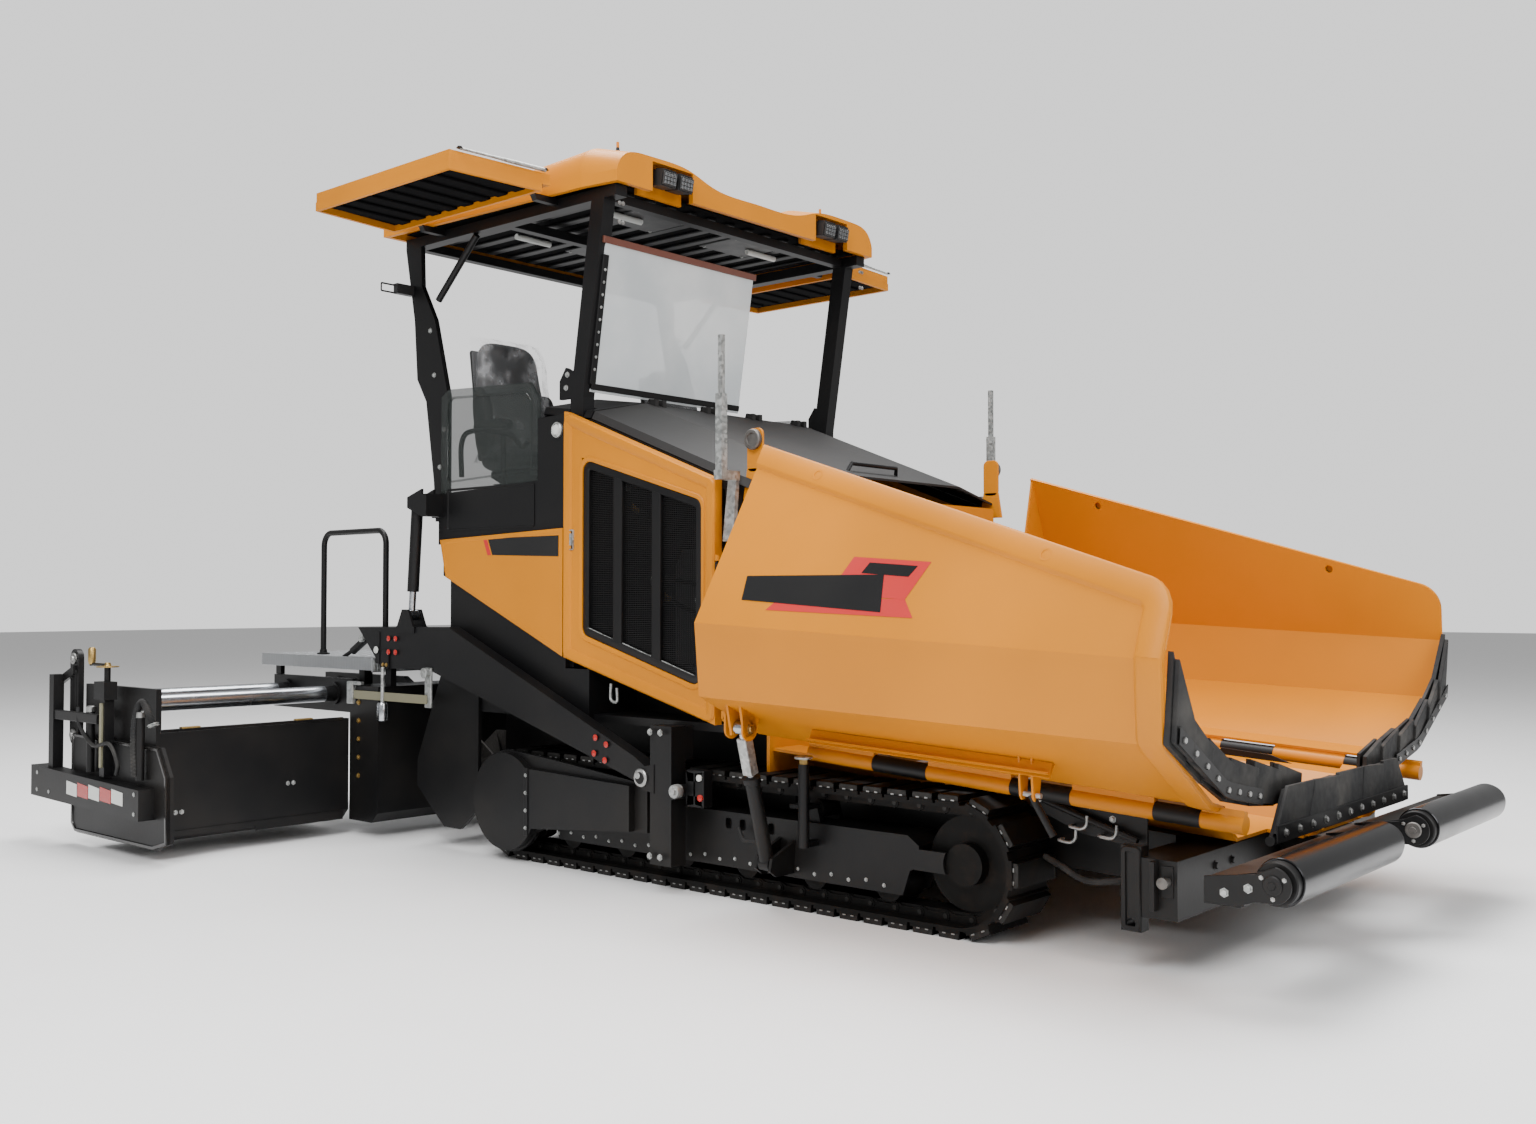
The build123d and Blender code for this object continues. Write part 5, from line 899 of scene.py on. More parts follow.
# %% Tow guides, arms and small fittings
guide_high = corners("tow_guides")[1]
arm_high = corners("tow_arms")[1]
for side, hand in SIDES.items():
    face = side_place(hand, guide_high[1] + 0.0005)
    spots = face(np.array([0.355, 0.425, 0.355, 0.425]), np.array([0.775, 0.775, 0.175, 0.175]))
    bolts(f"guide_bolts_{side}", spots, face.w, 0.012, ZINC, "machine")
    for name, x, z, radius in (("guide_knob_rear", 0.268, 0.556, 0.034),
                               ("guide_knob_front", 0.505, 0.497, 0.034)):
        knob = side_place(hand, 1.245).at(x, z)
        turned(f"{name}_{side}",
               [(radius, -0.02), (radius, 0.010), (radius * 0.92, 0.016), (radius * 0.5, 0.016),
                                  (radius * 0.48, 0.028), (radius * 0.2, 0.030)], knob, ZINC, "machine", 24)
    box = side_place(hand, 1.190)
    moulding(f"guide_box_{side}", rounded([(0.52, 0.42), (0.64, 0.42), (0.64, 0.60), (0.52, 0.60)], 0.01),
             [(0.0, -0.06), (0.0, 0.0), (0.004, 0.004), (0.055, 0.004)], box, BLACK, "machine")
    turned(f"guide_cap_red_{side}", [(0.016, 0.0), (0.016, 0.010), (0.010, 0.014)],
           box.at(0.622, 0.470, 0.002), RED_GLASS, "machine")
    turned(f"guide_cap_pale_{side}", [(0.016, 0.0), (0.016, 0.010), (0.008, 0.014)],
           box.at(0.615, 0.565, 0.002), WHITE_GLASS, "machine")
    arm = side_place(hand, arm_high[1] + 0.0003)
    for i, (x, z) in enumerate(((-1.86, 1.19), (-1.79, 1.19), (-1.86, 1.11), (-1.79, 1.11), (-0.06, 0.72),
                                (0.02, 0.69), (-0.07, 0.64),
                                (0.01, 0.61))):
        turned(f"arm_dot_{side}_{i}", [(0.016, 0.0), (0.016, 0.003), (0.010, 0.006), (0.003, 0.007)],
               arm.at(x, z), RED_GLASS,
               "screed", 20)
    turned(f"arm_dot_pale_{side}", [(0.021, 0.0), (0.021, 0.004), (0.008, 0.006)], arm.at(-1.985, 1.12),
           WHITE_GLASS, "screed", 20)
    pin = side_place(hand, 1.262).at(0.280, 0.545)
    turned(f"tow_pin_{side}", [(0.045, -0.022), (0.045, 0.002), (0.040, 0.006), (0.020, 0.007)], pin, BOLT,
           "machine", 24)

# %% Bolts and rods along the frame and the guard
guard_high_y = corners("drive_guards")[1][1]
for side, hand in SIDES.items():
    face = side_place(hand, 1.0715)
    rows = np.linspace(-0.92, 1.62, 27)
    bolts(f"frame_bolts_{side}", face(rows, 0.168 + 0.012 * (np.arange(27) % 2), 0.009), face.w, 0.007, ZINC,
          "machine")
    guard = side_place(hand, guard_high_y)
    bars(f"guard_strip_{side}", [(-0.655, 0.16, 0.0)], [(-0.625, 0.52, 0.006)], BLACK, "machine", guard,
         0.002)
    bolts(f"guard_bolts_{side}", guard(np.full(4, -0.640), np.linspace(0.20, 0.48, 4), 0.006), guard.w, 0.008,
          ZINC, "machine")
    post = side_place(hand, 1.165)
    tube(f"track_post_{side}", post(np.full(2, 1.235), np.array([0.300, 0.675]), 0.0), 0.026, BLACK,
         "machine", 20)
    turned(f"track_post_nut_{side}", [(0.020, 0.0), (0.020, 0.022)],
           Place((1.235, hand * 1.165, 0.675), (1, 0, 0), (0, 1, 0)), BRASS,
           "machine", 6)
    turned(f"track_post_cap_{side}", [(0.030, 0.022), (0.043, 0.026), (0.043, 0.034), (0.030, 0.040)],
           Place((1.235, hand * 1.165, 0.675), (1, 0, 0), (0, 1, 0)), ZINC, "machine", 24)
    bars(f"track_post_arm_{side}", [(1.215, 0.300, -0.10), (1.150, 0.470, -0.10)],
         [(1.255, 0.325, 0.0), (1.255, 0.490, 0.0)], BLACK,
         "machine", post, 0.003)
    hose = np.array([(0.80, 0.335, 0.02), (0.86, 0.290, 0.05), (0.93, 0.285, 0.04), (0.985, 0.255, 0.03)])
    tube(f"ram_hose_{side}", smooth_path(side_place(hand, 1.10)(hose[:, 0], hose[:, 1], hose[:, 2]), 24),
         0.010, RUBBER, "machine", 10)
    handle = np.array([(-0.10, 0.985), (-0.10, 0.905), (-0.055, 0.895), (-0.055, 0.965)])
    tube(f"drain_pipe_{side}", smooth_path(side_place(hand, 1.105)(handle[:, 0], handle[:, 1], 0.0), 20),
         0.008, ZINC, "machine", 10)

# %% [markdown]
# The ram that lifts a wing has a square sleeve over its rod, and ears on the wing with a cotter pin.

# %% Wing rams and door feet
for side, hand in SIDES.items():
    fold = JOINTS[f"wing_barrel_{side}_swing"]
    slide = np.array(JOINTS[f"wing_piston_{side}_slide"]["axis"])
    foot = np.array(fold["pos_m"])
    along = np.array(fold["axis"])
    ram = Place(foot, np.cross(slide, along), along)
    sleeve = ram if np.dot(ram.w, slide) > 0 else Place(foot, along, np.cross(slide, along))
    bars(f"ram_sleeve_{side}", [(-0.027, -0.027, 0.445)], [(0.027, 0.027, 0.625)], ZINC,
         f"wing_piston_{side}", sleeve, 0.006)
    turned(f"ram_gland_{side}", [(0.036, 0.400), (0.041, 0.404), (0.041, 0.430), (0.030, 0.436)], sleeve,
           BLACK, f"wing_barrel_{side}")
    eye = foot + slide * 0.6713
    for i, offset in enumerate((-0.0475, 0.0475)):
        cap = Place(eye + along * offset * hand, slide, np.cross(along * np.sign(offset) * hand, slide))
        turned(f"ram_pin_{side}_{i}", [(0.024, 0.0), (0.024, 0.004), (0.014, 0.006), (0.012, 0.012)], cap,
               BRASS if i else ZINC, f"wing_{side}", 20)
    foot_box = side_place(hand, 1.128)
    moulding(f"door_foot_{side}",
             rounded([(0.700, 0.840), (0.840, 0.800), (0.840, 0.900), (0.700, 0.935)], 0.012),
             [(0.0, -0.03), (0.0, 0.004), (0.004, 0.010), (0.022, 0.010), (0.026, 0.002), (0.026, -0.02)],
             foot_box, YELLOW, "machine")
    plate(f"door_foot_hole_{side}", [(0.728, 0.862), (0.812, 0.838), (0.812, 0.872), (0.728, 0.896)],
          (-0.022, -0.018), foot_box, BLACK,
          "machine")
    tube(f"door_foot_pin_{side}", foot_box(np.array([0.735, 0.808]), np.array([0.880, 0.858]), -0.006), 0.007,
         ZINC, "machine", 12)
print("sides dressed")

# %% [markdown]
# ## Screed
# The screed levels the asphalt. Its two halves slide out on bright tubes, so each end carries its own
# frame: a beam with reflectors, a jack that sets the height of the end gate, and a hose for the heating.

# %% Walkway, rails and guide tubes
deck = 1.070
bars("walkway_fascia", [(-2.032, -1.25, 0.985), (-3.272, -1.252, 0.995), (-3.272, 1.244, 0.995)],
     [(-2.022, 1.25, 1.071), (-2.03, -1.244, 1.071), (-2.03, 1.252, 1.071)], TREAD, "screed", bevel=0.002)
teeth = np.linspace(-1.235, 1.235, 96)
bars("walkway_teeth", np.stack([np.full(96, -2.024), teeth - 0.006, np.full(96, 0.992)], 1),
     np.stack([np.full(96, -2.017), teeth + 0.006, np.full(96, 1.066)], 1), ZINC, "screed")
x, y = np.meshgrid(np.arange(-3.23, -2.06, 0.052), np.arange(-1.21, 1.22, 0.052))
lean = np.where((np.round((x + y) / 0.052) % 2 > 0), 1.0, -1.0)
studs = np.stack([x.ravel(), y.ravel(), np.full(x.size, deck)], 1)
half = np.stack([np.full(x.size, 0.013), 0.013 * lean.ravel(), np.zeros(x.size)], 1)
side_step = np.stack([np.full(x.size, 0.003), -0.003 * lean.ravel(), np.zeros(x.size)], 1)
lozenge = np.stack([studs - half, studs + side_step, studs + half, studs - side_step, studs + (0, 0, 0.0018)],
                   1)
lozenge_faces = np.array([(0, 1, 4), (1, 2, 4), (2, 3, 4), (3, 0, 4)])
make("walkway_studs", lozenge, [repeated(5, lozenge_faces, x.size)], TREAD, "screed", closed=False)
for side, hand in SIDES.items():
    for x in (-2.470, -3.020):
        steps = np.array([1.30, 1.80, 1.802, 1.815, 1.817, 2.38])
        radius = np.full(6, 0.0483)
        path = np.stack([np.full(6, x), hand * steps, np.full(6, 0.840)], 1)
        tube(f"tube_sleeve_{side}_{'front' if x > -2.5 else 'rear'}", path, radius, BRIGHT,
             f"extension_{side}", 32)

# %% Extensions: wear plates, end frames and reflectors
for side, hand in SIDES.items():
    body = f"extension_{side}"
    out = np.array((1.0, 0.0, 0.0))
    face = Place((-2.2650, 0, 0), (0, 1, 0), (0, 0, 1))
    spots = face(hand * np.array([1.62, 1.655, 2.30, 2.335]), np.array([0.345, 0.345, 0.250, 0.250]), 0.0)
    bolts(f"plate_bolts_{side}", spots, out, 0.010, ZINC, body)
    edge = [(1.29, 0.095), (1.86, 0.095), (1.86, 0.118), (2.44, 0.118), (2.44, 0.150), (1.29, 0.150)]
    plate(f"wear_strip_{side}", [(hand * u, v) for u, v in edge], (0.0002, 0.0055), face, BLACK, body, 0.001)
    bars(f"plate_lip_{side}", [(min(hand * 1.29, hand * 2.43), 0.690, -0.020)],
         [(max(hand * 1.29, hand * 2.43), 0.708, 0.005)],
         GLOSS, body, face, 0.002)
    clips = hand * np.array([1.55, 2.25])
    bars(f"plate_clips_{side}", [(c - 0.055, 0.704, -0.030) for c in clips],
         [(c + 0.055, 0.716, 0.004) for c in clips], BRASS, body,
         face, 0.003)
    beam = side_place(hand, 2.5802)
    for i, x in enumerate(np.linspace(-3.06, -2.50, 5)):
        plate(f"reflector_{side}_{i}", [(x, 0.308), (x + 0.132, 0.300), (x + 0.132, 0.372), (x, 0.384)],
              (0.0, 0.0015), beam,
              RED_GLASS if i % 2 else WHITE_GLASS, body)
    ends = beam(np.array([-3.46, -3.46, -3.30, -2.24, -2.24]), np.array([0.300, 0.400, 0.300, 0.375, 0.270]),
                -0.0085)
    bolts(f"beam_bolts_{side}", ends, beam.w, 0.013, ZINC, body)
    gate = side_place(hand, 2.4905)
    outline = [(-2.160, 0.620), (-2.060, 0.470), (-2.050, 0.115), (-2.200, 0.075), (-3.150, 0.075),
               (-3.200, 0.120), (-3.200, 0.640)]
    moulding(f"gate_rim_{side}", outline,
             [(0.0, -0.02), (0.0, 0.003), (0.003, 0.006), (0.016, 0.006), (0.020, 0.0)], gate, GLOSS,
             body)
    for i, x in enumerate((-2.30, -2.90)):
        tube(f"gate_slide_{side}_{i}", gate(np.full(2, x), np.array([0.44, 0.78]), 0.028), 0.022, BLACK, body,
             16)
        turned(f"gate_slide_cap_{side}_{i}", [(0.026, 0.0), (0.026, 0.030), (0.016, 0.036)],
               Place(gate(x, 0.78, 0.028), (1, 0, 0), (0, 1, 0)), BOLT, body, 20)
    # The jack: a square tube in a box, with a screw and a crank on top
    jack = gate.at(-2.7075, 0.0, 0.040)
    bars(f"jack_window_{side}", [(-0.012, 0.480, 0.0)], [(0.012, 0.840, 0.0235)], OLIVE, body, jack, 0.002)
    turned(f"jack_plate_{side}", [(0.060, 0.0), (0.060, 0.006), (0.020, 0.008), (0.014, 0.026)],
           Place(jack(0.0, 1.040, -0.016), (1, 0, 0), (0, 1, 0)), BRASS, body, 28)
    turned(f"jack_handle_{side}", [(0.017, 0.0), (0.021, 0.02), (0.021, 0.085), (0.014, 0.095)],
           Place(jack(-0.1975, 1.052, -0.016), (1, 0, 0), (0, 1, 0)), BRASS, body, 16)
    arm = side_place(hand, 2.4828).at(-3.205, 0.0)
    for i, z in enumerate((1.075, 0.63)):
        turned(f"swing_arm_boss_{side}_{i}", [(0.034, 0.0), (0.034, 0.010), (0.018, 0.012), (0.014, 0.020)],
               arm.at(0, z), BOLT, body, 24)
    moulding(f"swing_arm_slot_{side}",
             rounded([(-0.030, 0.70), (0.030, 0.70), (0.030, 1.02), (-0.030, 1.02)], 0.029),
             [(0.0, 0.0), (0.002, 0.004), (0.007, 0.004), (0.009, 0.0)], arm, BLACK, body)
    # A corrugated hose: its radius rises and falls along the way
    stops = np.array([(-2.315, 0.46, 0.050), (-2.330, 0.66, 0.050), (-2.315, 0.80, 0.046),
                      (-2.265, 0.865, 0.036), (-2.215, 0.80, 0.022),
                      (-2.190, 0.735, 0.008)])
    path = smooth_path(gate(stops[:, 0], stops[:, 1], stops[:, 2]), 150)
    tube(f"gate_hose_{side}", path, 0.0185 + 0.002 * np.cos(np.arange(150) * np.pi * 2 / 3), RUBBER, body, 14)
    tube(f"gate_hose_end_{side}", path[-9:], [0.026, 0.026, 0.032, 0.032, 0.024, 0.024, 0.030, 0.030, 0.024],
         ZINC, body, 20)
    stops = np.array([(-2.52, 0.455, 0.055), (-2.50, 0.52, 0.060), (-2.60, 0.62, 0.062), (-2.80, 0.60, 0.060),
                      (-2.98, 0.70, 0.055),
                      (-3.03, 0.80, 0.045)])
    tube(f"gate_cable_{side}", smooth_path(gate(stops[:, 0], stops[:, 1], stops[:, 2]), 40), 0.011, RUBBER,
         body, 10)
    bars(f"frame_tie_{side}", [(-3.36, 0.720, 0.035)], [(-2.76, 0.775, 0.060)], BLACK, body, gate, 0.004)

# %% Measuring bars and links between the screed and the tow arms
for side, hand in SIDES.items():
    face = side_place(hand, 1.2405)
    bars(f"measure_bar_{side}", [(-2.24, 0.822, 0.012)], [(-1.47, 0.872, 0.022)], OLIVE, "screed", face,
         0.002)
    bars(f"measure_clamp_{side}", [(-2.255, 0.790, 0.0), (-2.20, 0.905, 0.0)],
         [(-2.195, 0.925, 0.034), (-2.12, 0.925, 0.030)], ZINC,
         "screed", face, 0.004)
    bars(f"measure_hanger_{side}", [(-1.50, 0.80, -0.002)], [(-1.44, 1.030, 0.012)], ZINC, "screed", face,
         0.004)
    turned(f"measure_knob_{side}", [(0.030, 0.0), (0.030, 0.030), (0.018, 0.034)],
           face.at(-1.47, 1.000, 0.012), ZINC, "screed", 24)
    tube(f"arm_link_{side}", face(np.array([-2.30, -2.10]), np.array([1.105, 1.215]), -0.04), 0.024, BLACK,
         "screed", 16)
    turned(f"arm_link_pin_{side}", [(0.022, 0.0), (0.022, 0.02), (0.012, 0.024)],
           face.at(-2.155, 1.185, -0.014), ZINC, "screed", 20)
    tube(f"arm_link_grip_{side}", face(np.array([-2.40, -2.30]), np.array([1.068, 1.110]), -0.04), 0.012,
         BLACK, "screed", 12)
print("screed dressed")

# %% [markdown]
# ## Driver's stand
# The machine is driven from either side, so there are two seats. Each cushion is a crowned, closed form, as
# an upholsterer would fill it: an outline that swells towards its middle, with a sunken seam round its
# centre panel.

# %% Seats
def cushion(name, width, length, thick, place, body, crown=0.03, waist=0.0, seam=0.62):
    """
    A stuffed pad. With s and t running from -1 to 1 over it, a rounded-square radius
    r = (s^4 + t^4)^(1/4) sets its height: thick * (1 - r^6)^(1/2) + crown * (1 - s^2) * (1 - t^2), less a
    narrow groove at r = seam.
    Its half width is width * (1 + waist * sin(pi * t)).
    """
    grid = np.sin(np.linspace(-1, 1, 41) * np.pi / 2)
    s, t = np.meshgrid(grid, grid)
    r = np.minimum((s ** 4 + t ** 4) ** 0.25, 1.0)
    reach = np.where(s ** 4 + t ** 4 > 1, (np.maximum(s ** 4 + t ** 4, 1e-9)) ** -0.25, 1.0)
    s, t = s * reach, t * reach
    groove = 0.006 * np.exp(-((r - seam) / 0.035) ** 2)
    top = thick / 2 * np.sqrt(np.maximum(1 - r ** 6, 0)) + crown * (1 - s ** 2) * (1 - t ** 2) - groove
    low = -thick / 2 * np.sqrt(np.maximum(1 - r ** 6, 0))
    u = s * width / 2 * (1 + waist * np.sin(np.pi * t))
    v = t * length / 2
    points = np.concatenate([place(u, v, top).reshape(-1, 3), place(u, v, low).reshape(-1, 3)])
    faces = grid_faces(41, 41)
    shell = make(name, points, [faces, faces[:, ::-1] + 41 * 41], VINYL, body, smooth=60, closed=False)
    join = bmesh.new()
    join.from_mesh(shell.data)
    bmesh.ops.remove_doubles(join, verts=join.verts, dist=1e-5)
    bmesh.ops.recalc_face_normals(join, faces=join.faces)
    join.to_mesh(shell.data)
    join.free()
    return shell


def film(name, width, length, lift, place, body, creases):
    """A clear bag drawn over a cushion: the same rounded outline, a little larger, with creases that fan
    out."""
    grid = np.linspace(-1, 1, 49)
    s, t = np.meshgrid(grid, grid)
    r = np.minimum((s ** 6 + t ** 6) ** (1 / 6), 1.0)
    angle = np.arctan2(t, s)
    fold = 0.004 * np.sin(creases * angle) * r ** 2 + 0.003 * np.sin(17 * s + 5 * t) * np.cos(9 * t)
    height = lift * np.sqrt(np.maximum(1 - r ** 8, 0.0)) + fold
    points = place(s * width / 2, t * length / 2, height)
    return make(name, points, [grid_faces(49, 49)], FILM, body, smooth=60, closed=False)


for side, hand in SIDES.items():
    middle = hand * 0.700
    base = Place((-1.190, middle, 2.238), (0, 1, 0), (1, 0, 0.05), (-0.05, 0, 1))
    pad = cushion(f"seat_cushion_{side}", 0.52, 0.53, 0.12, base, "machine", 0.025)
    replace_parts(pad, "seats")
    back = Place((-1.425, middle, 2.590), (0, 1, 0), (-0.135, 0, 0.99), (0.99, 0, 0.135))
    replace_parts(cushion(f"seat_back_{side}", 0.50, 0.74, 0.125, back, "machine", 0.02, -0.10), "seats")
    for i, offset in enumerate((-0.235, 0.235)):
        wing_pad = back.at(offset, -0.14, 0.035)
        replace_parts(cushion(f"seat_bolster_{side}_{i}", 0.10, 0.42, 0.11, wing_pad, "machine", 0.01), "seats")
    bars(f"seat_shell_{side}", [(-0.215, -0.345, -0.085)], [(0.215, 0.330, -0.055)], PLASTIC, "machine", back,
         0.02)
    folds = 9
    steps = np.repeat(np.linspace(1.835, 2.130, folds + 1), 2)[1:-1]
    waves = np.tile([0.150, 0.185], folds)
    bellows = np.array([rounded([(-h, -h), (h, -h), (h, h), (-h, h)], 0.05, 4) for h in waves])
    rows = np.concatenate([bellows + (-1.200, middle),
                           np.broadcast_to(steps[:, None, None], bellows.shape[:2] + (1,))], -1)
    make(f"seat_bellows_{side}", rows, [grid_faces(*rows.shape[:2], True)], RUBBER, "machine", 40,
         closed=False)
    bars(f"seat_foot_{side}", [(-1.38, middle - 0.17, 1.7703), (-1.37, middle - 0.19, 2.130)],
         [(-1.03, middle + 0.17, 1.84), (-1.02, middle + 0.19, 2.175)], BLACK, "machine", bevel=0.01)
    for i, offset in enumerate((-0.295, 0.295)):
        rest = Place((-1.215, middle + offset, 2.425), (1, 0, 0), (0, 1, 0))
        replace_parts(cushion(f"armrest_{side}_{i}", 0.32, 0.07, 0.055, rest, "machine", 0.006), "seats")
        tube(f"armrest_stay_{side}_{i}",
             [(-1.385, middle + offset * 0.86, 2.400), (-1.33, middle + offset, 2.405)], 0.014, BLACK,
             "machine", 12)
    film(f"seat_bag_back_{side}", 0.53, 0.78, 0.105, back.at(0, 0, 0.004), "machine", 13)
    film(f"seat_bag_cushion_{side}", 0.55, 0.56, 0.095, base.at(0, 0, 0.004), "machine", 11)

# %% [markdown]
# ### Console and rails
# One console stands between the seats and serves both. It carries a screen, a steering dial, levers and keys.

# %% Console, rails and side lamps
face = Place((-0.875, 0, 2.350), (0, 1, 0), (0.336, 0, 0.942), (-0.942, 0, 0.336))
bars("console_panel", [(-0.36, -0.060, 0.0)], [(0.36, 0.062, 0.010)], PLASTIC, "machine", face, 0.006)
for i, u in enumerate((-0.20, 0.20)):
    bars(f"console_display_{i}", [(u - 0.075, -0.035, 0.010)], [(u + 0.075, 0.045, 0.016)], PLASTIC,
         "machine", face, 0.004)
    bars(f"console_glass_{i}", [(u - 0.066, -0.027, 0.0155)], [(u + 0.066, 0.037, 0.0168)], TINT, "machine",
         face)
u, v = np.meshgrid(np.linspace(-0.09, 0.09, 7), np.linspace(-0.035, 0.035, 4))
u, v = u.ravel(), v.ravel()
bars("console_keys", np.stack([u - 0.009, v - 0.007, np.full(u.size, 0.010)], 1),
     np.stack([u + 0.009, v + 0.007, np.full(u.size, 0.0145)], 1),
     VINYL, "machine", face, 0.002)
shelf = Place((-0.905, 0, 2.278), (0, 1, 0), (1, 0, 0), (0, 0, 1))
for i, u in enumerate((-0.30, -0.24, 0.24, 0.30)):
    tube(f"console_lever_{i}", shelf(np.full(2, u), np.array([0.02, -0.01]), np.array([0.0, 0.075])), 0.005,
         ZINC, "machine", 10)
    turned(f"console_lever_knob_{i}",
           [(0.006, 0.0), (0.013, 0.008), (0.015, 0.020), (0.010, 0.032), (0.003, 0.035)],
           shelf.at(u, -0.008, 0.070), PLASTIC, "machine", 16)
dial = Place((-0.95, 0.0, 2.31), (0, 1, 0), (0.94, 0, 0.34), (-0.34, 0, 0.94))
turned("steering_hub", [(0.045, 0.0), (0.040, 0.020), (0.012, 0.028)], dial, PLASTIC, "machine", 28)
turn = np.linspace(0, 2 * np.pi, 41)
wheel = dial(0.14 * np.cos(turn), 0.14 * np.sin(turn), 0.03)
tube("steering_rim", wheel, 0.0125, VINYL, "machine", 12)
for i, a in enumerate(np.linspace(0, 2 * np.pi, 4)[:-1]):
    tube(f"steering_spoke_{i}",
         dial(np.array([0.0, 0.14]) * np.cos(a), np.array([0.0, 0.14]) * np.sin(a), np.array([0.018, 0.03])),
         0.008,
         PLASTIC, "machine", 10)
bars("steering_stem", [(-0.93, -0.03, 2.02)], [(-0.87, 0.03, 2.30)], PLASTIC, "machine", bevel=0.01)
for side, hand in SIDES.items():
    inner = side_place(hand, 1.075)
    rail = np.array([(-1.40, 2.13), (-1.40, 2.33), (-1.30, 2.39), (-0.98, 2.35), (-0.86, 2.27),
                     (-0.80, 2.30)])
    tube(f"stand_rail_{side}", smooth_path(inner(rail[:, 0], rail[:, 1], 0.0), 44), 0.015, BLACK, "machine",
         12)
    tube(f"stand_rail_post_{side}", inner(np.full(2, -1.02), np.array([1.78, 2.35]), 0.0), 0.015, BLACK,
         "machine", 12)
    glass = side_place(hand, 1.1245)
    window = [(-1.475, 2.100), (-0.720, 2.125), (-0.720, 2.500), (-0.770, 2.560), (-1.440, 2.590),
              (-1.475, 2.560)]
    moulding(f"window_seal_{side}", rounded(window, 0.03),
             [(-0.006, 0.0), (-0.004, 0.0035), (0.006, 0.0035), (0.008, -0.004)], glass,
             TINT, "machine")
    lamp = side_place(hand, 1.1245).at(-0.500, 2.330)
    turned(f"side_lamp_{side}", [(0.042, 0.0), (0.042, 0.012), (0.034, 0.018), (0.030, 0.013)], lamp, ZINC,
           "machine", 28)
    turned(f"side_lamp_glass_{side}", [(0.030, 0.012), (0.024, 0.022), (0.010, 0.027)], lamp, WHITE_GLASS,
           "machine", 24)
    foot = side_place(hand, 1.0805)
    spots = foot(np.array([-0.485, -0.475]), np.array([2.56, 2.63]), 0.0)
    bolts(f"post_foot_bolts_{side}", spots, foot.w, 0.012, ZINC, "machine")
    joints = foot(np.array([-1.60, -1.56, -1.66, -1.70]), np.array([2.20, 2.42, 2.75, 3.02]), 0.0)
    bolts(f"rear_post_bolts_{side}", joints, foot.w, 0.012, ZINC, "machine")
    brace = foot(np.array([-1.66, -1.30]), np.array([3.20, 3.53]), -0.028)
    tube(f"roof_brace_{side}", brace, 0.020, BLACK, "machine", 12)
    rear_lamp = Place((-1.880, hand * 1.235, 3.280), (0, 1, 0), (0, 0, 1), (1, 0, 0))
    moulding(f"rear_lamp_rim_{side}",
             rounded([(-0.055, -0.028), (0.055, -0.028), (0.055, 0.028), (-0.055, 0.028)], 0.01),
             [(0.0, -0.024), (0.0, -0.027), (0.006, -0.029), (0.010, -0.026)], rear_lamp, PLASTIC, "machine")

# %% [markdown]
# ## Hood
# The hood is a dark lid with a flat top and two long bevels. Raised seams stiffen it and a grab bar opens it.
# In front stands the filler's yellow bracket with its round cap.

# %% Hood seams, grab bar and filler

def hood_top(x):
    """Height of the hood's crown over X."""
    return 2.428 - 0.3836 * (x + 0.420) + 0.115


slope = Place((0.30, 0, hood_top(0.30)), (1, 0, -0.3836), (0, 1, 0))
for i, y in enumerate((-0.42, 0.42)):
    moulding(f"hood_seam_{i}",
             rounded([(-0.46, y - 0.18), (0.50, y - 0.18), (0.50, y + 0.18), (-0.46, y + 0.18)], 0.06),
             [(0.0, 0.0), (0.006, 0.006), (0.018, 0.006), (0.026, 0.0)], slope, COWL, "hood")
bar_path = np.array([(0.490, -0.22, 0.0), (0.490, -0.20, 0.050), (0.490, 0.20, 0.050), (0.490, 0.22, 0.0)])
tube("hood_grab", slope(bar_path[:, 0], bar_path[:, 1], bar_path[:, 2]), 0.011, BLACK, "hood", 12)
u = np.tile(np.linspace(-0.50, 0.50, 6), 2)
v = np.repeat((-0.66, 0.66), 6)
bolts("hood_bolts", slope(u, v, 0.0), slope.w, 0.009, BOLT, "hood")
for side, hand in SIDES.items():
    stand = side_place(hand, 1.000)
    plate(f"filler_bracket_{side}",
          rounded([(0.800, 2.03), (0.900, 2.03), (0.900, 2.24), (0.800, 2.24)], 0.03), (0.05, 0.062), stand,
          YELLOW, "machine", 0.003)
    plate(f"filler_stand_{side}", [(0.775, 1.90), (0.925, 1.90), (0.900, 2.05), (0.800, 2.05)], (0.05, 0.062),
          stand, YELLOW, "machine",
          0.003)
    disc = stand.at(0.850, 2.185, 0.062)
    turned(f"filler_cap_{side}",
           [(0.046, 0.0), (0.050, 0.006), (0.050, 0.022), (0.044, 0.028), (0.030, 0.028), (0.027, 0.022),
                                  (0.010, 0.022)], disc, WORN, "machine", 32)
print("stand and hood dressed")

# %% [markdown]
# ## Front beam and push rollers
# Lorries back up against two free rollers, so a lorry's tyres can turn while the paver pushes. Each roller
# is a steel tube between black end discs. Its cheeks have round noses, bolted on.

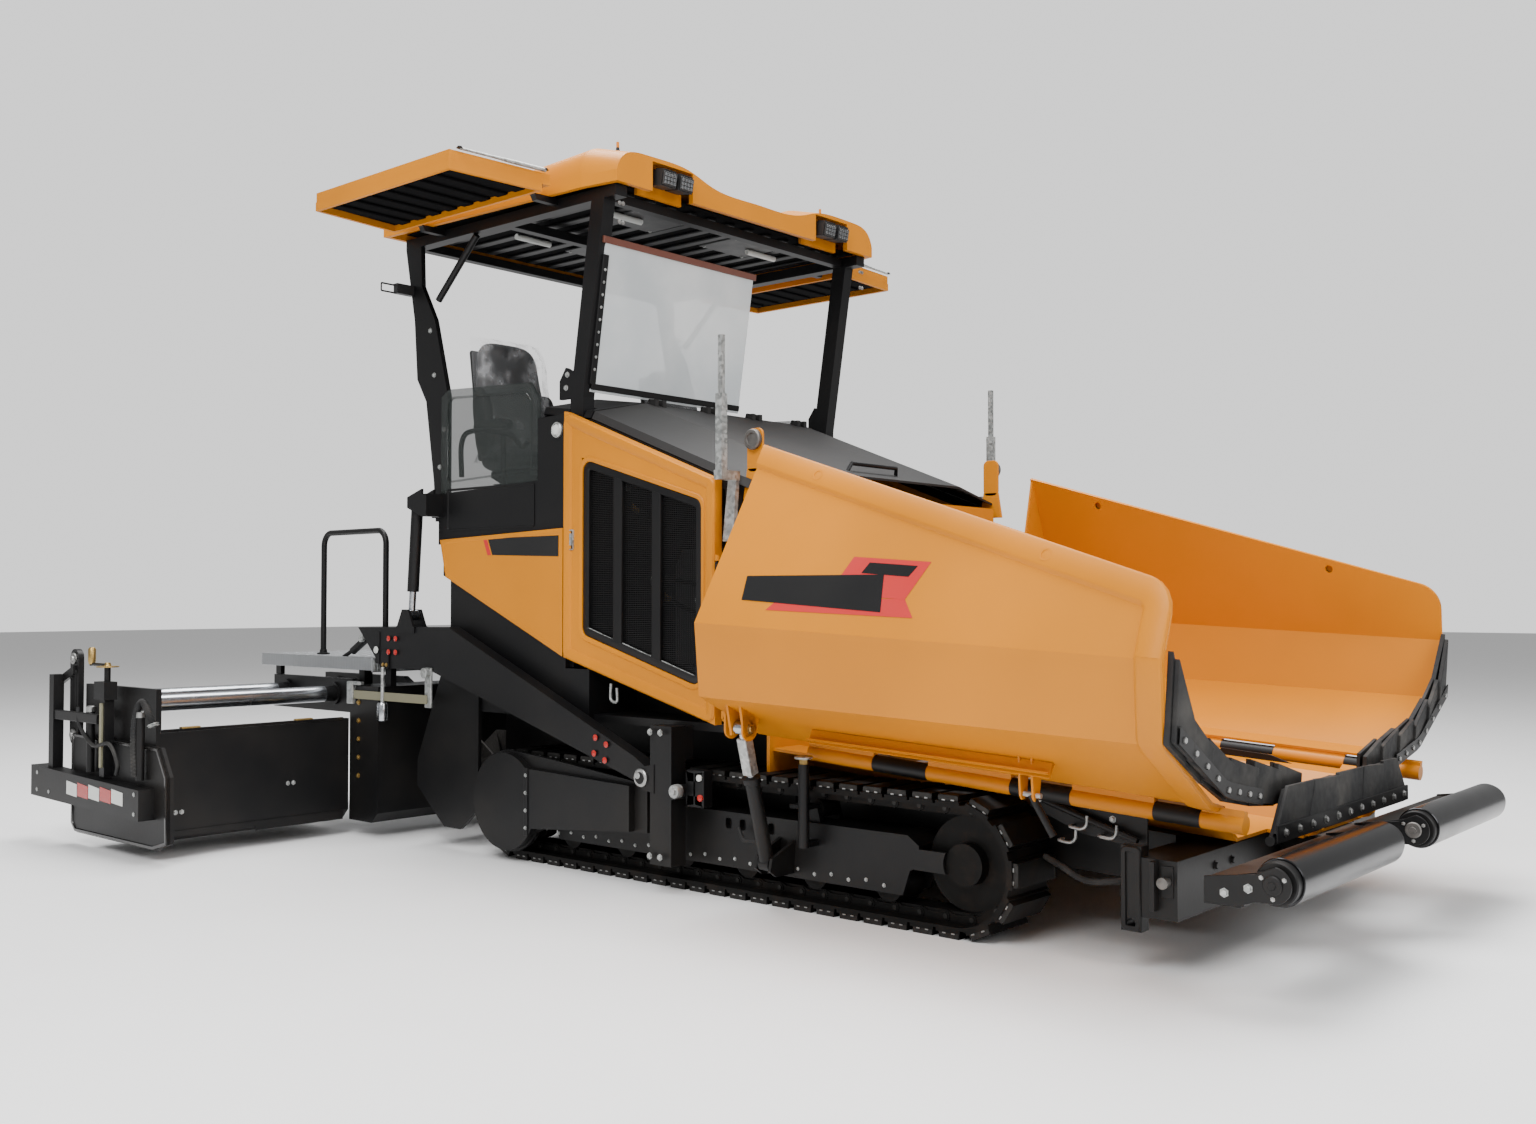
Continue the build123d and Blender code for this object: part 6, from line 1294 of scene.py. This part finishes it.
# %% Push rollers, cheeks and deck
axle_x, axle_z = 3.460, 0.450
for side, hand in SIDES.items():
    body = f"roller_{side}"
    spin = side_place(hand, 0.0).at(axle_x, axle_z)
    shell = [(0.070, 0.236), (0.082, 0.236), (0.085, 0.239), (0.085, 1.302), (0.082, 1.305), (0.070, 1.305)]
    steel = turned(f"roller_shell_{side}", shell, spin, ROLLER, body, 56)
    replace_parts(steel, f"push_roller_{side}")
    for name, start, end in (("inner", 0.2005, 0.242), ("outer", 1.299, 1.3465)):
        disc = turned(f"roller_disc_{name}_{side}",
                      [(0.020, start), (0.072, start), (0.0765, start + 0.004), (0.0765, end - 0.004),
                       (0.072, end), (0.020, end)],
                      spin, BLACK, body, 48)
        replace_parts(disc, f"push_roller_{side}")
    nose = np.linspace(-100, 82, 19) * np.pi / 180
    rim = [(axle_x + 0.064 * math.cos(a), axle_z + 0.064 * math.sin(a)) for a in nose]
    outline = [(3.216, 0.362), (3.330, 0.362), (3.400, 0.385)] + rim + [(3.400, 0.482), (3.216, 0.455)]
    outer = side_place(hand, 1.3672)
    inner = Place((0, hand * 0.1778, 0), outer.u, outer.v, -outer.w)
    for name, face in (("outer", outer), ("inner", inner)):
        plate(f"cheek_{name}_{side}", outline, (0.0, 0.010), face, BLACK, "beam", 0.0025)
        hub = face.at(axle_x, axle_z, 0.010)
        turned(f"cheek_hub_{name}_{side}",
               [(0.034, 0.0), (0.034, 0.005), (0.030, 0.008), (0.014, 0.008), (0.012, 0.012)], hub,
               WORN if name == "inner" else BLACK, "beam", 32)
        ring = np.array([30, 150, 270]) * np.pi / 180
        bolts(f"cheek_bolts_{name}_{side}",
              face(axle_x + 0.046 * np.cos(ring), axle_z + 0.046 * np.sin(ring), 0.010), face.w, 0.006,
              BOLT, "beam")
        bolts(f"cheek_bolt_{name}_{side}", face(np.array([3.375, 3.290]), np.array([0.430, 0.405]), 0.010),
              face.w, 0.012, ZINC, "beam")
    low_y, high_y = sorted((hand * 0.212, hand * 1.366))
    bars(f"beam_deck_{side}", [(3.217, low_y, 0.4402)], [(3.362, high_y, 0.4500)], TREAD_DARK, "beam",
         bevel=0.003)
    bars(f"beam_toe_{side}", [(3.345, low_y, 0.362)], [(3.3545, high_y, 0.452)], BLACK, "beam", bevel=0.002)
bars("beam_deck_middle", [(3.06, -0.205, 0.4402)], [(3.350, 0.205, 0.4480)], TREAD_DARK, "beam", bevel=0.003)
turned("beam_pivot_cap", [(0.058, 0.0), (0.062, 0.004), (0.062, 0.018), (0.052, 0.022), (0.012, 0.022)],
       Place((3.080, 0, 0.4480), (1, 0, 0), (0, 1, 0)), WORN, "beam", 36)

# %% Cross beam: end plates, shackle pins, tie rods and pipes
for side, hand in SIDES.items():
    face = side_place(hand, 1.1203)
    post = rounded([(2.771, 0.156), (2.854, 0.156), (2.854, 0.479), (2.771, 0.479)], 0.026)
    moulding(f"nose_post_{side}", post,
             [(0.0, -0.05), (0.0, 0.004), (0.004, 0.008), (0.020, 0.008), (0.022, 0.004)], face, BLACK,
             "machine")
    bars(f"nose_flange_{side}", [(2.905, 0.250, -0.004), (2.935, 0.300, -0.004)],
         [(2.925, 0.436, 0.040), (2.985, 0.420, 0.006)], BLACK,
         "machine", face, 0.002)
    turned(f"nose_pin_{side}", [(0.017, 0.0), (0.017, 0.034), (0.022, 0.036), (0.022, 0.046), (0.010, 0.050)],
           face.at(2.962, 0.362, 0.006), WORN, "machine", 24)
    front = Place((3.0002, 0, 0), (0, 1, 0), (0, 0, 1))
    spots = front(hand * np.array([0.62, 0.78, 0.62, 0.78]), np.array([0.28, 0.28, 0.38, 0.38]), 0.0)
    bolts(f"nose_bolts_{side}", spots, (1, 0, 0), 0.014, BLACK, "machine")
    back = side_place(hand, 0.960)
    ends = np.array([(2.330, 0.600), (2.762, 0.470)])
    tube(f"nose_tie_{side}", back(ends[:, 0], ends[:, 1], 0.0), 0.014, BLACK, "machine", 14)
    plate(f"nose_web_{side}",
          [(2.260, 0.560), (2.300, 0.660), (2.560, 0.640), (2.790, 0.560), (2.790, 0.430), (2.500, 0.470)],
          (-0.040, -0.030), back, BLACK, "machine", 0.002)
    x = np.array([2.310, 2.400, 2.470, 2.540, 2.640, 2.330])
    z = np.array([0.635, 0.628, 0.596, 0.588, 0.540, 0.600])
    bolts(f"nose_web_bolts_{side}", back(x, z, np.array([-0.03, -0.03, -0.03, -0.03, -0.03, 0.012])), back.w,
          0.011, ZINC, "machine")
    for i, (x, z) in enumerate(((2.470, 0.500), (2.600, 0.475), (2.420, 0.440))):
        bend = np.array([(x, z, -0.028), (x, z, 0.010), (x + 0.050, z - 0.004, 0.016),
                         (x + 0.075, z + 0.012, 0.014),
                         (x + 0.078, z + 0.050, 0.010)])
        tube(f"nose_pipe_{side}_{i}", smooth_path(back(bend[:, 0], bend[:, 1], bend[:, 2]), 22), 0.0065, ZINC,
             "machine", 10)
    hose = np.array([(2.34, 0.36, -0.02), (2.44, 0.34, 0.03), (2.56, 0.30, 0.05), (2.68, 0.31, 0.04),
                     (2.775, 0.33, 0.02)])
    tube(f"nose_hose_{side}", smooth_path(back(hose[:, 0], hose[:, 1], hose[:, 2]), 32), 0.013, RUBBER,
         "machine", 12)

# %% [markdown]
# Each wing carries a second pair of ears near the front, with a black link hanging from a pin. The link
# ties the front flap to the wing.

# %% Front ears, pear-shaped ram ears and the gusset behind a wing
for side, hand in SIDES.items():
    body = f"wing_{side}"

    def section_place(run):
        """A cross-section of the hopper at a run: u outwards, v upwards."""
        origin = hopper(hand, run, 0.0, 0.0)
        return Place(origin, hopper(hand, run, 1.0, 0.0) - origin, hopper(hand, run, 0.0, 1.0) - origin)

    ear = [(1.262, 0.128), (1.272, 0.020), (1.285, 0.004), (1.305, 0.002), (1.318, 0.018), (1.330, 0.080),
           (1.345, 0.176)]
    for i, run in enumerate((1.262, 1.318)):
        plate(f"front_ear_{side}_{i}", ear, (0.0, 0.010), section_place(run), YELLOW, body, 0.002)
    link_path = [hopper(hand, 1.294, 1.295, 0.026), hopper(hand, 1.315, 1.290, -0.010),
                 hopper(hand, 1.385, 1.270, -0.125)]
    tube(f"front_link_{side}", link_path, 0.015, BLACK, body, 14)
    tube(f"front_ear_pin_{side}", [hopper(hand, 1.252, 1.296, 0.026), hopper(hand, 1.338, 1.296, 0.026)],
         0.011, ZINC, body, 16)
    pear = np.linspace(0, 2 * np.pi, 25)[:-1]
    middle_y, middle_z = 1.430, 0.127
    for i, run in enumerate((-0.1545, -0.052)):
        shape = [(middle_y + 0.050 * math.cos(a), middle_z - 0.005 + 0.050 * math.sin(a)) for a in pear[12:]]
        shape += [(middle_y + 0.054, middle_z + 0.060), (middle_y + 0.042, middle_z + 0.112),
                  (middle_y + 0.020, middle_z + 0.128),
                  (middle_y - 0.020, middle_z + 0.075)]
        plate(f"ram_ear_{side}_{i}", shape, (0.0, 0.0105), section_place(run), YELLOW, body, 0.002)

# %% [markdown]
# ## Track chain
# Pins and link plates repeat along the same loop as the shoes. A run along the loop is a straight length,
# then a half turn at the pitch radius, and so on round; each shoe's place follows from its number.

# %% Links, pins and pad ends, worn steel with a painted highlight
PITCH_CIRCLE = 0.2285
STRAIGHT, TURN_RUN = 2.850, math.pi * PITCH_CIRCLE
LOOP_RUN = 2 * (STRAIGHT + TURN_RUN)
SHOES = 54


def loop_places(shift):
    """Axle X and angle from straight up for every shoe, moved along the loop by a share of the pitch."""
    run = ((np.arange(SHOES) + shift) * LOOP_RUN / SHOES) % LOOP_RUN
    x = np.select([run < STRAIGHT, run < STRAIGHT + TURN_RUN, run < LOOP_RUN - TURN_RUN],
                  [-0.830 + run, 2.020 + 0 * run, 2.020 - (run - STRAIGHT - TURN_RUN)], -0.830)
    turn = np.select([run < STRAIGHT, run < STRAIGHT + TURN_RUN, run < LOOP_RUN - TURN_RUN],
                     [0 * run, (run - STRAIGHT) / PITCH_CIRCLE, math.pi + 0 * run],
                     math.pi + (run - LOOP_RUN + TURN_RUN) / PITCH_CIRCLE)
    return x, turn


def on_loop(hand, shift, along, height, across):
    """Points for every shoe: along the loop, away from the axle and across, outwards from the machine."""
    x, turn = (value[:, None] for value in loop_places(shift))
    along, height, across = (np.asarray(value, float)[None] for value in (along, height, across))
    return np.stack([x + along * np.cos(turn) + height * np.sin(turn), hand * (across + 0 * x),
                     0.300 - along * np.sin(turn) + height * np.cos(turn)], -1)


def loop_prisms(name, hand, shift, outline, span, finish, body="machine", bevel=0.0):
    """One prism for every shoe, from an outline of (along, height) and a span across."""
    outline = np.array(outline, float)
    count = len(outline)
    points = on_loop(hand, shift, np.tile(outline[:, 0], 2), np.tile(outline[:, 1], 2),
                     np.repeat(span, count))
    ring = np.arange(count)
    sides = np.stack([ring, (ring + 1) % count, (ring + 1) % count + count, ring + count], -1)
    caps = [np.array([ring]), np.array([ring[::-1] + count])]
    faces = [repeated(2 * count, rows, SHOES) for rows in [sides] + caps]
    return make(name, points, faces, finish, body, bevel=bevel)


circle = np.linspace(0, 2 * np.pi, 13)[:-1]
for side, hand in SIDES.items():
    boss = np.stack([0.021 * np.cos(circle), PITCH_CIRCLE + 0.021 * np.sin(circle)], -1)
    pin_head = np.stack([0.011 * np.cos(circle), PITCH_CIRCLE + 0.011 * np.sin(circle)], -1)
    link = np.array([(-0.062, -0.020), (-0.030, -0.012), (0.030, -0.012), (0.062, -0.026), (0.068, 0.0),
                     (0.062, 0.024), (0.030, 0.030),
                     (-0.030, 0.030), (-0.062, 0.020), (-0.068, 0.0)]) + (0.0, PITCH_CIRCLE)
    for name, near, far in (("outer", 1.0303, 1.0303 + 0.010), ("inner", 1.940 - 1.0303, 1.930 - 1.0303)):
        away = 1 if name == "outer" else -1
        loop_prisms(f"chain_links_{name}_{side}", hand, 0.28, link, (near, far), TRACK)
        loop_prisms(f"chain_bosses_{name}_{side}", hand, 0.78, boss, (near, far + 0.004 * away), TRACK)
        loop_prisms(f"chain_pins_{name}_{side}", hand, 0.78, pin_head, (far, far + 0.008 * away), EDGE)
    # A strip of lighter steel on each shoe's end face. It is partly worn steel and partly a painted highlight
    # standing in for the light on the shoes' bevelled edges.
    for name, y, away in (("outer", 1.1200, 1), ("inner", 1.940 - 1.1200, -1)):
        half = 0.0496
        end = [(-half, 0.2740), (-half, 0.2925), (-half + 0.012, 0.2985), (half - 0.012, 0.2985),
               (half, 0.2925), (half, 0.2740)]
        loop_prisms(f"pad_ends_{name}_{side}", hand, 0.28, end, (y + 0.0002 * away, y + 0.0016 * away), EDGE)
    tab = [(-0.030, 0.2740 + 0.0002), (-0.030, 0.2740 + 0.0065), (-0.014, 0.2740 + 0.0065),
           (-0.014, 0.2740 + 0.0002)]
    for i, shift in enumerate((0.28, 0.28 + 44 * SHOES / (LOOP_RUN * 1000))):
        loop_prisms(f"pad_bolts_{side}_{i}", hand, shift, tab, (1.1200 + 0.0002, 1.1200 + 0.0040), BOLT)
print("front beam and tracks dressed")

# %% [markdown]
# ## Walkway
# The walkway's tread plate sits on posts over the screed. A bent rail at each side closes it.

# %% Deck, posts and bent rails
deck_plate = bars("walkway_deck", [(-3.270, -1.250, 1.040)], [(-2.030, 1.250, 1.0700)], TREAD, "screed",
                  bevel=0.003)
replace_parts(deck_plate, "screed_walkway")
for side, hand in SIDES.items():
    for i, (x, near, far, low) in enumerate(((-2.300, 1.100, 1.160, 0.9015), (-3.170, 1.180, 1.210, 0.9365))):
        low_y, high_y = sorted((hand * near, hand * far))
        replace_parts(bars(f"walkway_post_{side}_{i}", [(x, low_y, low)], [(x + 0.060, high_y, 1.042)], BLACK,
                         "screed", bevel=0.003),
                    "screed_walkway")
    bend = np.linspace(np.pi, 0, 17)
    corner = 0.085
    arc = [(-2.450 + (0.340 - corner) * np.sign(math.cos(a)) + corner * math.cos(a),
            1.845 - corner + corner * math.sin(a))
           for a in bend if abs(math.cos(a)) > 1e-6]
    path = np.array([(-2.790, 1.068)] + arc + [(-2.110, 1.068)])
    rail = side_place(hand, 1.100)
    hoop = tube(f"walkway_rail_{side}", rail(path[:, 0], path[:, 1], 0.0), 0.018, BLACK, "screed", 20)
    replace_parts(hoop, "screed_walkway")
    for i, x in enumerate((-2.790, -2.110)):
        turned(f"walkway_rail_foot_{side}_{i}",
               [(0.040, 0.0), (0.040, 0.008), (0.024, 0.012), (0.022, 0.030), (0.018, 0.032)],
               Place((x, hand * 1.100, 1.0702), (1, 0, 0), (0, 1, 0)), BLACK, "screed", 28)

# %% [markdown]
# ## Between the machine and the screed
# A levelling sensor hangs from each tow arm on a short bracket, and a bolted beam closes the gap to the
# screed.

# %% Sensors, bolted beams and the platform's seams
for side, hand in SIDES.items():
    arm = side_place(hand, 1.2405)
    plate(f"arm_edge_{side}", [(-2.000, 1.040), (-1.960, 1.040), (-1.960, 1.230), (-2.000, 1.230)],
          (0.0, 0.004), arm, BLACK, "screed",
          0.001)
    plate(f"sensor_bracket_{side}",
          rounded([(-1.930, 1.010), (-1.860, 1.010), (-1.860, 1.120), (-1.930, 1.120)], 0.015), (0.0, 0.010),
          arm, BLACK, "screed", 0.002)
    bolts(f"sensor_bracket_bolts_{side}", arm(np.array([-1.912, -1.878]), np.array([1.035, 1.035]), 0.010),
          arm.w, 0.009, BRASS, "screed")
    tube(f"sensor_stem_{side}", arm(np.full(2, -1.895), np.array([1.020, 0.790]), 0.024), 0.011, ZINC,
         "screed", 16)
    turned(f"sensor_body_{side}",
           [(0.012, 0.0), (0.030, 0.006), (0.032, 0.014), (0.032, 0.100), (0.026, 0.112), (0.010, 0.112)],
           Place((-1.895, hand * 1.2645, 0.700), (1, 0, 0), (0, 1, 0)), BRIGHT, "screed", 32)
    wall = side_place(hand, 1.2503)
    x = np.array([-2.160, -2.160, -2.160, -2.160, -2.160])
    bolts(f"screed_end_bolts_{side}", wall(x, np.linspace(0.36, 0.80, 5), 0.0), wall.w, 0.012, BRASS,
          "screed")
    panel = side_place(hand, 1.1245)
    moulding(f"platform_seam_{side}",
             rounded([(-1.470, 1.815), (-0.690, 1.815), (-0.690, 2.060), (-1.470, 2.060)], 0.02),
             [(0.0, 0.0), (0.0, 0.003), (0.010, 0.003), (0.013, 0.0)], panel, BLACK, "machine")
print("joins dressed")

# %% [markdown]
# Each wing carries a flash of plain colour: a black banner over a red shape, with no lettering. Both are
# films a few tenths of a millimetre proud of the skin. A patch is a grid between four corners given as
# (run, height).

# %% Plain flash on the wings
def decal_patch(name, hand, corner_spots, lift, finish, body):
    """A film over four corners, bottom edge first: every point is (1 - t) * bottom + t * top, laid on the
    skin."""
    low_left, low_right, high_right, high_left = np.array(corner_spots, float)
    s, t = np.meshgrid(np.linspace(0, 1, 25), np.linspace(0, 1, 9))
    s, t = s[..., None], t[..., None]
    spots = (1 - t) * ((1 - s) * low_left + s * low_right) + t * ((1 - s) * high_left + s * high_right)
    run, height = spots[..., 0], spots[..., 1]
    return make(name, skin(hand, run, panel_fold(run, height), lift), [grid_faces(9, 25)], finish, body,
                closed=False)


FLASH = (("flash_low", RED, 0.0012, [(0.137, 0.668), (0.896, 0.687), (0.832, 0.757), (0.193, 0.724)]),
         ("flash_high", RED, 0.0012, [(0.440, 0.755), (0.832, 0.755), (0.903, 0.909), (0.509, 0.913)]),
         ("flash_notch", GLOSS, 0.0018, [(0.575, 0.848), (0.815, 0.845), (0.845, 0.890), (0.600, 0.893)]),
         ("flash_banner", GLOSS, 0.0020, [(-0.017, 0.702), (0.735, 0.698), (0.692, 0.848), (-0.038, 0.805)]))
for side, hand in SIDES.items():
    for name, finish, lift, spots in FLASH:
        decal_patch(f"wing_{name}_{side}", hand, spots, lift, finish, f"wing_{side}")

# %% [markdown]
# ## Floor, light and camera
# The machine stands on a pale floor in soft studio light, seen from its front right corner.

# %% Floor
FLOOR = Finish("pale_floor", None, (0.90, 0.90, 0.90), 0.7)
FLOOR.feed(Roughness=0.5 + 0.2 * FLOOR.noise(3.0))
reach = 60.0
ground = bpy.data.meshes.new("floor")
ground.from_pydata([(-reach, -reach, 0), (reach, -reach, 0), (reach, reach, 0), (-reach, reach, 0)], [],
                   [(0, 1, 2, 3)])
floor = bpy.data.objects.new("floor", ground)
bpy.context.scene.collection.objects.link(floor)
floor.data.materials.append(FLOOR.material)

# %% Light
world = bpy.data.worlds.new("studio")
bpy.context.scene.world = world
world.use_nodes = True
world.node_tree.nodes["Background"].inputs["Color"].default_value = (1.0, 1.0, 1.0, 1.0)
rays = world.node_tree.nodes.new("ShaderNodeLightPath")
sky = world.node_tree.nodes.new("ShaderNodeMapRange")
sky.inputs["To Min"].default_value = 0.45
sky.inputs["To Max"].default_value = 1.25
world.node_tree.links.new(rays.outputs["Is Camera Ray"], sky.inputs["Value"])
world.node_tree.links.new(sky.outputs["Result"], world.node_tree.nodes["Background"].inputs["Strength"])


def softbox(name, spot, target, size, power):
    """A square area lamp at a spot, turned towards a target."""
    lamp = bpy.data.lights.new(name, "AREA")
    lamp.energy = power
    lamp.size = size
    holder = bpy.data.objects.new(name, lamp)
    holder.location = spot
    holder.rotation_euler = (Vector(target) - Vector(spot)).to_track_quat("-Z", "Y").to_euler()
    bpy.context.scene.collection.objects.link(holder)


softbox("key", (3.0, -9.0, 9.0), (0.0, 0.0, 1.2), 6.0, 1150)
softbox("front", (10.0, -2.0, 6.0), (1.0, 0.0, 1.0), 5.0, 550)
softbox("top", (-1.0, 1.0, 11.0), (0.0, 0.0, 0.0), 9.0, 2600)

# %% Camera
view = bpy.data.cameras.new("camera")
view.lens = 33.4
view.sensor_width = 36.0
camera = bpy.data.objects.new("camera", view)
camera.location = (5.33, -6.173, 1.421)
camera.rotation_euler = Vector((-0.652, 0.758, 0.0262)).to_track_quat("-Z", "Y").to_euler()
bpy.context.scene.collection.objects.link(camera)
bpy.context.scene.camera = camera
